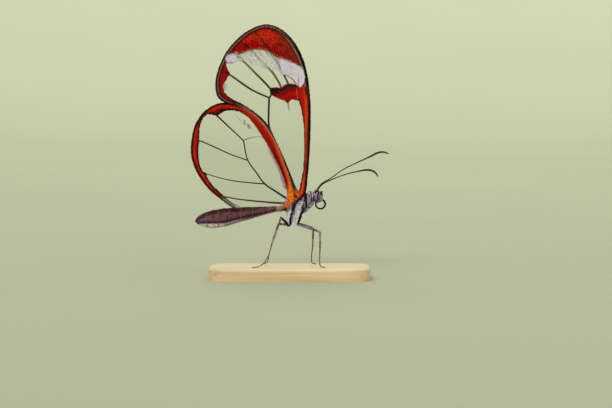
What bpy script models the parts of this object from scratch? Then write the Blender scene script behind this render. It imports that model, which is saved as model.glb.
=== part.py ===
"""A glasswing butterfly at rest, life size, standing on a plain display base.

The animal faces +X with its wings closed over its back. Y is its left side and Z is up.
The origin is the middle of the base's underside. Places are worked out in millimetres,
with heights above the level of the feet, and turned to metres when a mesh is made.
"""
import math

import bmesh
import bpy
import numpy as np
from mathutils import Vector
from mathutils.geometry import delaunay_2d_cdt

# Driving sizes in millimetres
MM = 0.001
GAP = 0.3
BASE_LENGTH = 26.0
BASE_WIDTH = 15.0
BASE_HEIGHT = 2.0
BASE_CORNER = 3.0
BASE_EDGE = 0.4
FEET_LEVEL = BASE_HEIGHT + GAP

WING_THICKNESS = 0.5
VEIN_RISE = 0.12
VEIN_HALF_WIDTH = 0.26
OUTLINE_STEP = 0.95
VEIN_STEP = 1.15
GRID_STEP = 1.9
GRID_CLEAR = 0.75
VEIN_CLEAR = 0.2
HINGE = (0.6, 10.0)
FOREWING_PLANE = 0.52
HINDWING_PLANE = 1.56
ROOT_REACH = 3.0
FOREWING_ROOT_SPREAD = 1.2
HINDWING_ROOT_SPREAD = 0.85
ABDOMEN_SPREAD = 0.4
LEFT_WING_TURN = 0.55

# Forewing outline from the root up the leading edge, round the tip and back
FOREWING_OUTLINE = [
    (1.25, 10.35), (2.4, 11.2), (3.0, 15.2), (3.35, 21.7), (3.25, 27.8), (2.3, 32.9),
    (0.6, 36.2), (-1.6, 38.2), (-3.9, 38.8), (-6.6, 37.8), (-9.3, 35.4), (-11.1, 32.3),
    (-11.8, 29.3), (-11.4, 27.2), (-9.9, 26.1), (-7.1, 25.2), (-4.4, 22.8), (-1.9, 18.4),
    (-0.05, 14.0), (0.85, 11.2),
]
# Hindwing outline from the root up the leading edge, round the tip and back
HINDWING_OUTLINE = [
    (-0.5, 9.4), (0.65, 10.3), (0.45, 12.3), (-0.8, 16.5), (-3.1, 21.5), (-5.7, 24.4),
    (-8.6, 25.9), (-11.3, 26.1), (-13.7, 24.8), (-15.2, 22.6), (-15.8, 19.9), (-15.8, 17.5),
    (-14.8, 14.8), (-13.1, 12.4), (-11.0, 10.6), (-8.6, 9.0), (-6.3, 8.35), (-3.9, 8.6), (-1.8, 9.0),
]
FOREWING_VEINS = [
    [(1.3, 11.6), (-1.0, 17.3), (-3.2, 22.2), (-3.3, 24.6), (-3.2, 27.0)],
    [(-3.2, 22.2), (-4.4, 23.5), (-6.0, 24.8), (-8.2, 25.7), (-10.2, 26.3)],
    [(-3.2, 27.0), (-6.0, 28.3), (-9.5, 30.7), (-11.3, 31.6)],
    [(-3.2, 27.0), (-2.7, 27.8), (-2.9, 28.3), (-5.7, 31.3), (-8.5, 33.9), (-10.0, 34.5)],
    [(-2.7, 27.8), (-1.3, 28.3), (-2.5, 30.9), (-4.4, 32.9), (-6.1, 34.7), (-8.2, 36.3)],
    [(-1.3, 28.3), (-0.1, 28.6), (-0.9, 30.9), (-2.2, 33.1), (-4.0, 35.9), (-6.0, 37.9)],
    [(1.8, 12.0), (2.6, 16.8), (2.8, 22.5), (2.5, 27.8), (1.6, 31.4), (0.0, 34.3), (-2.1, 36.6)],
    [(-0.1, 28.6), (1.3, 28.8), (2.4, 29.1)],
]
HINDWING_VEINS = [
    [(0.0, 10.4), (-2.3, 11.9), (-4.0, 13.1), (-5.4, 15.0), (-6.7, 16.9), (-7.4, 20.1)],
    [(-4.0, 13.1), (-6.6, 13.3), (-9.0, 13.6), (-11.3, 14.1), (-13.2, 14.7), (-14.6, 15.2)],
    [(-6.7, 16.9), (-9.5, 17.9), (-12.1, 19.1), (-14.4, 20.1), (-15.5, 20.5)],
    [(-7.4, 20.1), (-9.5, 22.1), (-11.6, 24.1), (-12.7, 25.1)],
    [(-7.4, 20.1), (-6.5, 20.5), (-5.3, 20.7), (-3.7, 20.6)],
    [(-0.7, 9.9), (-3.4, 10.1), (-6.4, 10.4), (-8.7, 10.7), (-10.7, 11.1)],
]

# Body forms: x, height of the back, height of the underside, half-width
THORAX_STATIONS = [
    (-0.8, 9.45, 8.7, 0.45), (-0.4, 10.1, 8.3, 0.95), (0.3, 10.7, 8.05, 1.25),
    (1.0, 11.05, 8.05, 1.35), (1.7, 11.35, 8.25, 1.3), (2.3, 11.55, 8.7, 1.1),
    (2.9, 11.65, 9.35, 0.85), (3.2, 11.5, 9.85, 0.68), (3.38, 11.2, 10.4, 0.4),
]
ABDOMEN_STATIONS = [
    (-1.1, 9.45, 8.7, 0.45), (-2.4, 9.4, 8.5, 0.62), (-4.2, 9.35, 8.05, 0.76),
    (-6.2, 9.3, 7.45, 0.88), (-8.2, 9.25, 6.9, 0.98), (-10.3, 9.1, 6.25, 1.05),
    (-11.9, 8.85, 5.95, 1.02), (-13.3, 8.5, 5.95, 0.88), (-14.4, 7.95, 6.3, 0.6),
    (-15.2, 7.3, 6.7, 0.28),
]
ABDOMEN_RINGS = 8
ABDOMEN_RING_SWELL = 0.03
HEAD_CENTRE = (4.35, 0.0, 10.95)
HEAD_HALF = (0.66, 0.76, 0.84)
EYE_OFFSET = (0.08, 0.72, 0.08)
EYE_HALF = (0.5, 0.45, 0.58)
EYE_GAP = 0.2
FOREWING_BOSS = (2.2, 1.2, 10.05)
HINDWING_BOSS = (0.45, 1.5, 9.15)
BOSS_HALF = (0.5, 0.85, 0.45)

ANTENNA_RADIUS = 0.25
ANTENNA_CLUB = 0.32
ANTENNA_LEFT = [
    (4.2, 0.35, 12.1), (5.1, 0.7, 12.95), (6.8, 1.3, 14.0), (8.5, 1.9, 15.2), (10.8, 2.5, 16.35),
    (13.1, 2.9, 17.4), (14.3, 3.0, 18.0), (15.2, 3.05, 18.15), (16.0, 3.1, 17.9),
]
ANTENNA_RIGHT = [
    (4.2, -0.35, 12.1), (5.2, -1.1, 12.95), (7.2, -2.4, 14.0), (9.1, -3.7, 14.75), (10.8, -4.9, 15.2),
    (12.3, -6.0, 15.5), (13.2, -6.6, 15.4), (13.8, -7.0, 15.0), (14.1, -7.15, 14.5),
]
PALP_PATH = [(4.85, 0.42, 10.1), (5.2, 0.42, 10.35), (5.38, 0.4, 10.75), (5.4, 0.38, 11.3), (5.25, 0.36, 11.85)]
PALP_RADIUS = 0.25
COIL_CENTRE = (5.05, 9.45)
COIL_RADIUS = 0.58
COIL_TUBE = 0.25
COIL_START = 45.0
COIL_TURN = 235.0
FORELEG_PATH = [(3.75, 0.5, 9.7), (3.65, 0.58, 9.3), (3.25, 0.62, 8.85), (2.9, 0.62, 8.5)]
FORELEG_RADIUS = 0.27

# Legs: coxa top, hip, knee, ankle, then the points of the foot, all for one side
COXA_DEPTH = (0.5, 0.3)
COXA_WIDTH = (0.42, 0.27)
FEMUR_RADIUS = 0.27
FEMUR_SWELL = 0.12
FEMUR_INSET = 0.2
TIBIA_RADIUS = 0.25
TARSUS_RADIUS = 0.25
FOOT_HEIGHT = 0.2
LEGS = {
    "mid_right": [(1.95, -1.15, 9.7), (1.15, -1.1, 6.55), (4.95, -3.0, 5.4), (4.9, -3.7, 2.5),
                  (4.9, -4.0, 0.75), (5.05, -4.05, 0.3), (5.7, -4.15, FOOT_HEIGHT)],
    "mid_left": [(1.95, 1.15, 9.7), (1.15, 1.1, 6.55), (3.85, 3.1, 5.7), (3.75, 3.7, 2.6),
                 (3.55, 4.0, 0.85), (3.7, 4.05, 0.3), (4.3, 4.15, FOOT_HEIGHT)],
    "hind_right": [(0.25, -1.2, 9.2), (-0.1, -1.0, 6.25), (-1.35, -2.6, 7.7), (-2.75, -3.5, 3.7),
                   (-3.4, -3.8, 1.75), (-4.2, -4.0, 0.55), (-5.0, -4.1, FOOT_HEIGHT),
                   (-5.9, -4.15, FOOT_HEIGHT)],
    "hind_left": [(0.25, 1.2, 9.2), (-0.1, 1.0, 6.25), (-1.85, 2.7, 6.4), (-2.85, 3.5, 3.4),
                  (-3.5, 3.8, 1.3), (-3.75, 3.9, 0.4), (-4.3, 4.0, FOOT_HEIGHT)],
}

# Faces round each form, and for the round ones the number of rings
LEG_SIDES = 8
COXA_SIDES = 12
PALP_SIDES = 10
ABDOMEN_SIDES = 16
THORAX_SIDES = 20
HEAD_MESH = (24, 14)
EYE_MESH = (20, 12)
BOSS_MESH = (12, 8)
COIL_POINTS = 26


def material(name, colour, roughness, alpha=1.0):
    """A plain Principled finish."""
    mat = bpy.data.materials.get(name) or bpy.data.materials.new(name)
    mat.use_nodes = True
    shader = mat.node_tree.nodes["Principled BSDF"]
    shader.inputs["Base Color"].default_value = (*colour, 1.0)
    shader.inputs["Roughness"].default_value = roughness
    shader.inputs["Metallic"].default_value = 0.0
    shader.inputs["Alpha"].default_value = alpha
    return mat


def add_object(name, points, faces, mat):
    """One closed mesh from points in millimetres above the feet."""
    places = (np.asarray(points, float) + (0.0, 0.0, FEET_LEVEL)) * MM
    mesh = bpy.data.meshes.new(name)
    mesh.from_pydata([tuple(p) for p in places], [], [tuple(int(i) for i in f) for f in faces])
    work = bmesh.new()
    work.from_mesh(mesh)
    bmesh.ops.recalc_face_normals(work, faces=work.faces)
    if work.calc_volume(signed=True) < 0.0:
        bmesh.ops.reverse_faces(work, faces=work.faces)
    work.to_mesh(mesh)
    work.free()
    mesh.shade_smooth()
    mesh.set_sharp_from_angle(angle=math.radians(40.0))
    mesh.materials.append(mat)
    obj = bpy.data.objects.new(name, mesh)
    bpy.context.collection.objects.link(obj)
    return obj


def smooth_curve(points, step, closed=False):
    """Points about one step apart on a centripetal Catmull-Rom curve through the given ones."""
    given = np.asarray(points, float)
    count = len(given)
    if closed:
        ends = np.vstack([given[-1], given, given[0], given[1]])
        spans = count
    else:
        ends = np.vstack([2 * given[0] - given[1], given, 2 * given[-1] - given[-2]])
        spans = count - 1
    out = []
    for i in range(spans):
        a, b, c, d = ends[i:i + 4]
        t1 = math.sqrt(np.linalg.norm(b - a))
        t2 = t1 + math.sqrt(np.linalg.norm(c - b))
        t3 = t2 + math.sqrt(np.linalg.norm(d - c))
        pieces = max(1, round(np.linalg.norm(c - b) / step))
        for t in np.linspace(t1, t2, pieces, endpoint=False):
            ab = a + (b - a) * t / t1
            bc = b + (c - b) * (t - t1) / (t2 - t1)
            cd = c + (d - c) * (t - t2) / (t3 - t2)
            abc = ab + (bc - ab) * t / t2
            bcd = bc + (cd - bc) * (t - t1) / (t3 - t1)
            out.append(abc + (bcd - abc) * (t - t1) / (t2 - t1))
    if not closed:
        out.append(given[-1])
    return np.array(out)


def unit(v):
    """The vector at length one."""
    v = np.asarray(v, float)
    return v / np.linalg.norm(v)


def sweep(path, depth, width, sides, start_plane=None, end_plane=None):
    """Elliptic sections carried along a path, with flat or fanned ends.

    Each section is square to the path: its depth lies up and down, its width across the body.
    A plane (point, normal) at an end slides that end's section along the path onto the plane.
    """
    path = np.asarray(path, float)
    depth = np.broadcast_to(depth, len(path))
    width = np.broadcast_to(width, len(path))
    along = np.gradient(path, axis=0)
    angles = np.linspace(0.0, 2.0 * math.pi, sides, endpoint=False)
    rings = []
    for centre, heading, up, across in zip(path, along, depth, width):
        heading = unit(heading)
        side = unit(np.array([0.0, 1.0, 0.0]) - heading[1] * heading)
        rise = np.cross(side, heading)
        rings.append(centre + np.outer(np.cos(angles) * up, rise) + np.outer(np.sin(angles) * across, side))
    for plane, index, heading in ((start_plane, 0, along[0]), (end_plane, -1, along[-1])):
        if plane is not None:
            point, normal = np.asarray(plane[0], float), np.asarray(plane[1], float)
            slide = (point - rings[index]) @ normal / (unit(heading) @ normal)
            rings[index] = rings[index] + np.outer(slide, unit(heading))
    points = np.vstack(rings + [rings[0].mean(axis=0), rings[-1].mean(axis=0)])
    faces = []
    last = len(path) - 1
    for k in range(sides):
        n = (k + 1) % sides
        for r in range(last):
            a, b, c, d = r * sides + k, r * sides + n, (r + 1) * sides + n, (r + 1) * sides + k
            faces += [(a, b, c), (a, c, d)]
        faces.append((len(points) - 2, n, k))
        faces.append((len(points) - 1, last * sides + k, last * sides + n))
    return points, faces


def round_off(radius, length, path):
    """Half-widths along a path that fall away in a quarter circle at its far end."""
    run = np.concatenate([[0.0], np.cumsum(np.linalg.norm(np.diff(path, axis=0), axis=1))])
    left = np.clip((run[-1] - run) / length, 0.0, 1.0)
    return radius * np.sqrt(np.clip(1.0 - (1.0 - left) ** 2, 0.06, 1.0))


def ellipsoid(centre, half, sides=20, rings=12):
    """A closed ellipsoid with its poles on the long axis of the body."""
    turn = np.linspace(0.12, math.pi - 0.12, rings)
    path = np.array(centre) + np.outer(-np.cos(turn) * half[0], (1.0, 0.0, 0.0))
    return sweep(path, np.sin(turn) * half[2], np.sin(turn) * half[1], sides)


def finish_boolean(obj, operation, others):
    """Union or cut with other closed objects, keeping only the largest closed surface."""
    group = bpy.data.collections.new(obj.name + "_tools")
    for other in others:
        group.objects.link(other)
    step = obj.modifiers.new("Boolean", "BOOLEAN")
    step.operation = operation
    step.operand_type = "COLLECTION"
    step.collection = group
    step.solver = "EXACT"
    graph = bpy.context.evaluated_depsgraph_get()
    mesh = bpy.data.meshes.new_from_object(obj.evaluated_get(graph))
    obj.modifiers.clear()
    obj.data = mesh
    for other in others:
        bpy.data.objects.remove(other)
    bpy.data.collections.remove(group)
    keep_largest(mesh)


def keep_largest(mesh):
    """Drop every separate surface but the one with the most volume."""
    work = bmesh.new()
    work.from_mesh(mesh)
    bmesh.ops.triangulate(work, faces=work.faces)
    todo = set(work.faces)
    shells = []
    while todo:
        front = [todo.pop()]
        shell = list(front)
        while front:
            face = front.pop()
            for edge in face.edges:
                for near in edge.link_faces:
                    if near in todo:
                        todo.remove(near)
                        front.append(near)
                        shell.append(near)
        shells.append(shell)

    def volume(shell):
        return sum(f.verts[0].co.dot(f.verts[1].co.cross(f.verts[2].co)) for f in shell)

    shells.sort(key=volume)
    for shell in shells[:-1]:
        bmesh.ops.delete(work, geom=shell, context="FACES")
    loose = [v for v in work.verts if not v.link_faces]
    bmesh.ops.delete(work, geom=loose, context="VERTS")
    work.to_mesh(mesh)
    work.free()


def body_sweep(stations, swell=0.0, step=0.45, extra=0.0):
    """Path, depths and widths of a body form, smoothed through its stations."""
    rows = np.array([(x, (top + low) / 2, (top - low) / 2, wide) for x, top, low, wide in stations])
    rows = smooth_curve(rows, step)
    run = np.linspace(0.0, 1.0, len(rows))
    ring = 1.0 + swell * (np.mod(run * ABDOMEN_RINGS, 1.0) - 0.5)
    path = np.column_stack([rows[:, 0], np.zeros(len(rows)), rows[:, 1]])
    return path, rows[:, 2] * ring + extra, rows[:, 3] * ring + extra


def make_base():
    """A flat plate with round corners and softened edges."""
    work = bmesh.new()
    bmesh.ops.create_cube(work, size=1.0)
    bmesh.ops.scale(work, vec=(BASE_LENGTH, BASE_WIDTH, BASE_HEIGHT), verts=work.verts)
    bmesh.ops.translate(work, vec=(0.0, 0.0, BASE_HEIGHT / 2 - FEET_LEVEL), verts=work.verts)
    upright = [e for e in work.edges if abs(e.verts[0].co.z - e.verts[1].co.z) > BASE_HEIGHT / 2]
    bmesh.ops.bevel(work, geom=upright, offset=BASE_CORNER, segments=8, profile=0.5, affect="EDGES")
    top = max(v.co.z for v in work.verts)
    rim = [e for e in work.edges if all(abs(v.co.z - top) < 1e-4 for v in e.verts)]
    bmesh.ops.bevel(work, geom=rim, offset=BASE_EDGE, segments=3, profile=0.5, affect="EDGES")
    bmesh.ops.triangulate(work, faces=work.faces)
    work.verts.index_update()
    points = [tuple(v.co) for v in work.verts]
    faces = [[v.index for v in f.verts] for f in work.faces]
    work.free()
    add_object("stand_base", points, faces, material("base_lacquered_maple", (0.62, 0.5, 0.36), 0.45))


def make_trunk():
    """Thorax with its wing-hinge bosses, and the abdomen."""
    brown = material("thorax_scales", (0.12, 0.06, 0.07), 0.7)
    path, deep, wide = body_sweep(THORAX_STATIONS)
    ends = ((path[0], (1.0, 0.0, 0.0)), (path[-1], (1.0, 0.0, 0.0)))
    thorax = add_object("thorax", *sweep(path, deep, wide, THORAX_SIDES, *ends), brown)
    bosses = []
    for x, y, z in (FOREWING_BOSS, HINDWING_BOSS):
        for side in (-1.0, 1.0):
            form = ellipsoid((x, side * y, z), BOSS_HALF, *BOSS_MESH)
            bosses.append(add_object("boss", *form, brown))
    finish_boolean(thorax, "UNION", bosses)
    path, deep, wide = body_sweep(ABDOMEN_STATIONS, ABDOMEN_RING_SWELL)
    form = sweep(path, deep, wide, ABDOMEN_SIDES, start_plane=(path[0], (1.0, 0.0, 0.0)))
    add_object("abdomen", *form, material("abdomen_scales", (0.1, 0.04, 0.045), 0.7))


def make_head():
    """Head with eye sockets, eyes, palps, coiled tongue and antennae."""
    grey = material("head_scales", (0.2, 0.14, 0.2), 0.8)
    head = add_object("head", *ellipsoid(HEAD_CENTRE, HEAD_HALF, *HEAD_MESH), grey)
    sockets = []
    for side, name in ((-1.0, "right"), (1.0, "left")):
        centre = np.array(HEAD_CENTRE) + np.array(EYE_OFFSET) * (1.0, side, 1.0)
        form = ellipsoid(centre, EYE_HALF, *EYE_MESH)
        add_object("eye_" + name, *form, material("eye", (0.03, 0.02, 0.02), 0.2))
        room = [h + EYE_GAP for h in EYE_HALF]
        sockets.append(add_object("socket", *ellipsoid(centre, room, *EYE_MESH), grey))
        palp = smooth_curve(np.array(PALP_PATH) * (1.0, side, 1.0), 0.22)
        radius = round_off(PALP_RADIUS, 1.3, palp)
        add_object("palp_" + name, *sweep(palp, radius, radius, PALP_SIDES), grey)
    finish_boolean(head, "DIFFERENCE", sockets)

    turn = np.radians(np.linspace(COIL_START, COIL_START - COIL_TURN, COIL_POINTS))
    coil = np.column_stack([COIL_CENTRE[0] + COIL_RADIUS * np.cos(turn), np.zeros(len(turn)),
                            COIL_CENTRE[1] + COIL_RADIUS * np.sin(turn)])
    black = material("tongue", (0.01, 0.008, 0.008), 0.35)
    radius = round_off(COIL_TUBE, COIL_TUBE, coil)
    add_object("proboscis", *sweep(coil, radius, radius, LEG_SIDES), black)

    olive = material("antenna", (0.05, 0.04, 0.02), 0.6)
    for name, points in (("antenna_left", ANTENNA_LEFT), ("antenna_right", ANTENNA_RIGHT)):
        path = smooth_curve(points, 0.55)
        run = np.linspace(0.0, 1.0, len(path))
        thick = ANTENNA_RADIUS + (ANTENNA_CLUB - ANTENNA_RADIUS) * np.clip((run - 0.7) / 0.2, 0.0, 1.0)
        radius = np.minimum(thick, round_off(ANTENNA_CLUB, 1.0, path))
        add_object(name, *sweep(path, radius, radius, LEG_SIDES), olive)


def make_legs():
    """Folded forelegs, and mid and hind legs of coxa, femur, tibia and tarsus."""
    white = material("coxa_scales", (0.6, 0.55, 0.65), 0.8)
    femur_grey = material("femur_scales", (0.16, 0.12, 0.13), 0.7)
    brown = material("tarsus_cuticle", (0.12, 0.045, 0.025), 0.5)
    for side, name in ((-1.0, "right"), (1.0, "left")):
        path = smooth_curve(np.array(FORELEG_PATH) * (1.0, side, 1.0), 0.3)
        radius = round_off(FORELEG_RADIUS, 2.0 * FORELEG_RADIUS, path)
        add_object("foreleg_" + name, *sweep(path, radius, radius, LEG_SIDES), white)
    for name, points in LEGS.items():
        top, hip, knee, ankle = np.array(points[:4], float)
        thigh, shin = unit(knee - hip), unit(ankle - knee)
        foot = smooth_curve([ankle] + points[4:], 0.35)
        toe = unit(foot[1] - foot[0])
        fall = unit(hip - top)
        seat = unit(fall - (fall @ thigh) * thigh)
        lobe = np.linspace(top, hip, 9)
        deep = np.linspace(*COXA_DEPTH, len(lobe))
        wide = np.linspace(*COXA_WIDTH, len(lobe))
        rest = (hip - seat * (FEMUR_RADIUS + GAP), seat)
        coxa = add_object("coxa_" + name, *sweep(lobe, deep, wide, COXA_SIDES, end_plane=rest), white)
        rooms = [sweep(*body_sweep(THORAX_STATIONS, extra=GAP), THORAX_SIDES)]
        side = math.copysign(1.0, top[1])
        for x, y, z in (FOREWING_BOSS, HINDWING_BOSS):
            rooms.append(ellipsoid((x, side * y, z), np.array(BOSS_HALF) + GAP, *BOSS_MESH))
        finish_boolean(coxa, "DIFFERENCE", [add_object("room", *form, white) for form in rooms])

        bend = unit(thigh + shin)
        line = np.linspace(hip - thigh * FEMUR_INSET, knee, 6)
        radius = FEMUR_RADIUS * (1.0 + FEMUR_SWELL * np.sin(np.linspace(0.0, math.pi, len(line))))
        form = sweep(line, radius, radius, LEG_SIDES, end_plane=(knee - bend * GAP / 2, bend))
        add_object("femur_" + name, *form, femur_grey)
        turn = unit(shin + toe)
        planes = ((knee + bend * GAP / 2, bend), (ankle - turn * GAP / 2, turn))
        form = sweep(np.linspace(knee, ankle, 5), TIBIA_RADIUS, TIBIA_RADIUS, LEG_SIDES, *planes)
        add_object("tibia_" + name, *form, brown)
        radius = np.minimum(TARSUS_RADIUS, round_off(TARSUS_RADIUS, 0.5, foot))
        shape, faces = sweep(foot, radius, radius, LEG_SIDES, start_plane=(ankle + turn * GAP / 2, turn))
        shape[:, 2] = np.maximum(shape[:, 2], 0.0)
        add_object("tarsus_" + name, shape, faces, brown)


def distance_to_lines(points, lines):
    """Shortest distance from each point to a set of polylines."""
    best = np.full(len(points), np.inf)
    for line in lines:
        for a, b in zip(line[:-1], line[1:]):
            run = b - a
            t = np.clip(((points - a) @ run) / (run @ run), 0.0, 1.0)
            best = np.minimum(best, np.linalg.norm(points - a - np.outer(t, run), axis=1))
    return best


def inside(points, loop):
    """Which points lie inside a closed outline, by counting crossings."""
    x, z = points[:, 0], points[:, 1]
    hit = np.zeros(len(points), bool)
    for (ax, az), (bx, bz) in zip(loop, np.roll(loop, -1, axis=0)):
        crosses = (az > z) != (bz > z)
        if az != bz:
            hit ^= crosses & (x < ax + (bx - ax) * (z - az) / (bz - az))
    return hit


def wing_height(points, plane, root_spread, hindwing):
    """Distance of a wing's middle surface from the body's middle plane."""
    reach = np.linalg.norm(points - HINGE, axis=1)
    height = plane + root_spread * np.exp(-(reach / ROOT_REACH) ** 2)
    if hindwing:
        height = height + ABDOMEN_SPREAD * np.clip((11.5 - points[:, 1]) / 2.5, 0.0, 1.0)
    return height


def settle(taken, points, clear, edge):
    """Add those points inside the outline that lie clear of it and of all others.

    Returns all points, and for each of the new ones inside its place among them, which is that
    of the nearest one where it isn't added.
    """
    points = points[inside(points, edge)]
    points = points[distance_to_lines(points, [np.vstack([edge, edge[:1]])]) > clear]
    places = []
    for point in points:
        apart = np.linalg.norm(taken - point, axis=1)
        place = int(np.argmin(apart))
        if apart[place] > clear:
            place = len(taken)
            taken = np.vstack([taken, point])
        places.append(place)
    return taken, places


def lay_out_wing(edge, lines):
    """Points of a wing and the lines that its triangles keep.

    Crest points follow the veins and are joined in lines, foot points lie half a vein's width
    to each side of them, and an even grid of triangles fills the cells.
    """
    low, high = edge.min(axis=0), edge.max(axis=0)
    grid_x, grid_z = np.meshgrid(np.arange(low[0], high[0], GRID_STEP),
                                 np.arange(low[1], high[1], GRID_STEP * math.sqrt(0.75)))
    grid_x[1::2] += GRID_STEP / 2
    grid = np.column_stack([grid_x.ravel(), grid_z.ravel()])
    grid = grid[distance_to_lines(grid, lines) > GRID_CLEAR]
    points = edge
    crests = []
    for line in lines:
        points, places = settle(points, line, VEIN_CLEAR, edge)
        crests += [(a, b) for a, b in zip(places, places[1:]) if a != b]
    for line in lines:
        heading = np.gradient(line, axis=0)
        square = np.column_stack([-heading[:, 1], heading[:, 0]])
        square *= VEIN_HALF_WIDTH / np.linalg.norm(square, axis=1)[:, None]
        for foot in (line + square, line - square):
            points, places = settle(points, foot, VEIN_CLEAR, edge)
    points, places = settle(points, grid, GRID_CLEAR, edge)
    return points, crests


def make_wing(name, outline, veins, side, plane, root_spread, turn, mat):
    """A membrane with its main veins as low ridges, cut into triangles alike on both faces.

    The thickness at a point is that of the membrane plus, within half a vein's width of a
    vein's line, a ridge that falls off in a straight slope.
    """
    edge = smooth_curve(outline, OUTLINE_STEP, closed=True)
    lines = [smooth_curve(vein, VEIN_STEP) for vein in veins]
    points, crests = lay_out_wing(edge, lines)
    found = delaunay_2d_cdt([Vector(p) for p in points], crests, [list(range(len(edge)))], 1, 1e-5)
    places = np.array([tuple(v) for v in found[0]])
    triangles = np.array(found[2])

    angle = math.radians(turn)
    cos, sin = math.cos(angle), math.sin(angle)
    hinge = np.array(HINGE)
    turned = (places - hinge) @ np.array([[cos, sin], [-sin, cos]]) + hinge
    ridge = VEIN_RISE * np.clip(1.0 - distance_to_lines(places, lines) / VEIN_HALF_WIDTH, 0.0, 1.0)
    half = WING_THICKNESS / 2 + ridge
    middle = wing_height(places, plane, root_spread, plane == HINDWING_PLANE)
    near = np.column_stack([turned[:, 0], side * (middle - half), turned[:, 1]])
    far = np.column_stack([turned[:, 0], side * (middle + half), turned[:, 1]])
    count = len(places)
    faces = [tuple(t) for t in triangles] + [tuple(t[::-1] + count) for t in triangles]
    edges = [pair for a, b, c in triangles for pair in ((a, b), (b, c), (c, a))]
    known = set(edges)
    for a, b in edges:
        if (b, a) not in known:
            faces += [(b, a, a + count), (b, a + count, b + count)]
    return add_object(name, np.vstack([near, far]), faces, mat)


def make_wings():
    """Two forewings inside two hindwings, the left pair turned a little from the right."""
    clear = material("wing_membrane", (0.75, 0.75, 0.7), 0.15, 0.25)
    for side, name, turn in ((-1.0, "right", 0.0), (1.0, "left", LEFT_WING_TURN)):
        make_wing("forewing_" + name, FOREWING_OUTLINE, FOREWING_VEINS, side,
                  FOREWING_PLANE, FOREWING_ROOT_SPREAD, turn, clear)
        make_wing("hindwing_" + name, HINDWING_OUTLINE, HINDWING_VEINS, side,
                  HINDWING_PLANE, HINDWING_ROOT_SPREAD, turn, clear)


for old in list(bpy.data.objects):
    bpy.data.objects.remove(old)
make_base()
make_trunk()
make_head()
make_legs()
make_wings()
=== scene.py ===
"""Looks of the glasswing butterfly: clear wings of scale and vein, one furred body skin, and a studio."""
import math

import bpy
import numpy as np
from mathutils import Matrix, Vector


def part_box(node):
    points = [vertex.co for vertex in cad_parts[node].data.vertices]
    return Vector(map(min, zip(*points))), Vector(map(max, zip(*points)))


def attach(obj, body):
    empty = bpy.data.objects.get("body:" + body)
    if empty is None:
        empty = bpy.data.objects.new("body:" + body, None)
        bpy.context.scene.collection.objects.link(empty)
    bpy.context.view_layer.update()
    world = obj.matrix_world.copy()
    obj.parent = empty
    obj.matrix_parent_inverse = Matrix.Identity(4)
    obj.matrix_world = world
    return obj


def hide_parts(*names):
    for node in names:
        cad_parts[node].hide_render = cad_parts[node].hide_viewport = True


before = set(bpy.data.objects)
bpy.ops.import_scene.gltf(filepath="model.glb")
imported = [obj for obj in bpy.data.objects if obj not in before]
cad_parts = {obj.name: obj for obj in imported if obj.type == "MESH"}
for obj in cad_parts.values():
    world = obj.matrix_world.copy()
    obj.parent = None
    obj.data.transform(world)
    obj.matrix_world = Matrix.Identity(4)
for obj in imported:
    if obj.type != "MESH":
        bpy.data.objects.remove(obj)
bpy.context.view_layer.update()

# Sizes in millimetres, heights above the level of the feet, as in the solids
MM = 0.001
BASE_TOP_GAP = 0.3
FEET_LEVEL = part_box("stand_base")[1][2] / MM + BASE_TOP_GAP
HINGE = np.array((0.6, 10.0))
FOREWING_PLANE = 0.52
HINDWING_PLANE = 1.56
ROOT_REACH = 3.0
FOREWING_ROOT_SPREAD = 1.2
HINDWING_ROOT_SPREAD = 0.85
ABDOMEN_SPREAD = 0.4
LEFT_WING_TURN = 0.55
SIDES = {"right": -1.0, "left": 1.0}

FOREWING_OUTLINE = [
    (1.25, 10.35), (2.4, 11.2), (3.0, 15.2), (3.35, 21.7), (3.25, 27.8), (2.3, 32.9),
    (0.6, 36.2), (-1.6, 38.2), (-3.9, 38.8), (-6.6, 37.8), (-9.3, 35.4), (-11.1, 32.3),
    (-11.8, 29.3), (-11.4, 27.2), (-9.9, 26.1), (-7.1, 25.2), (-4.4, 22.8), (-1.9, 18.4),
    (-0.05, 14.0), (0.85, 11.2),
]
HINDWING_OUTLINE = [
    (-0.5, 9.4), (0.65, 10.3), (0.45, 12.3), (-0.8, 16.5), (-3.1, 21.5), (-5.7, 24.4),
    (-8.6, 25.9), (-11.3, 26.1), (-13.7, 24.8), (-15.2, 22.6), (-15.8, 19.9), (-15.8, 17.5),
    (-14.8, 14.8), (-13.1, 12.4), (-11.0, 10.6), (-8.6, 9.0), (-6.3, 8.35), (-3.9, 8.6), (-1.8, 9.0),
]
# Each vein: its radius at the root and at the margin, then its line
FOREWING_VEINS = [
    (0.11, 0.09, [(1.3, 11.6), (-1.0, 17.3), (-3.2, 22.2), (-3.3, 24.6), (-3.2, 27.0)]),
    (0.08, 0.08, [(-3.2, 22.2), (-4.4, 23.5), (-6.0, 24.8), (-8.2, 25.7), (-10.2, 26.3)]),
    (0.09, 0.07, [(-3.2, 27.0), (-6.0, 28.3), (-9.5, 30.7), (-11.3, 31.6)]),
    (0.09, 0.06, [(-3.2, 27.0), (-2.7, 27.8), (-2.9, 28.3), (-5.7, 31.3), (-8.5, 33.9), (-10.0, 34.5)]),
    (0.08, 0.06, [(-2.7, 27.8), (-1.3, 28.3), (-2.5, 30.9), (-4.4, 32.9), (-6.1, 34.7), (-8.2, 36.3)]),
    (0.08, 0.06, [(-1.3, 28.3), (-0.1, 28.6), (-0.9, 30.9), (-2.2, 33.1), (-4.0, 35.9), (-6.0, 37.9)]),
    (0.10, 0.07, [(1.8, 12.0), (2.6, 16.8), (2.8, 22.5), (2.5, 27.8), (1.6, 31.4), (0.0, 34.3), (-2.1, 36.6)]),
    (0.07, 0.06, [(-0.1, 28.6), (1.3, 28.8), (2.4, 29.1)]),
    (0.05, 0.02, [(-0.2, 26.6), (-0.1, 25.8), (0.0, 24.9)]),
]
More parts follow.
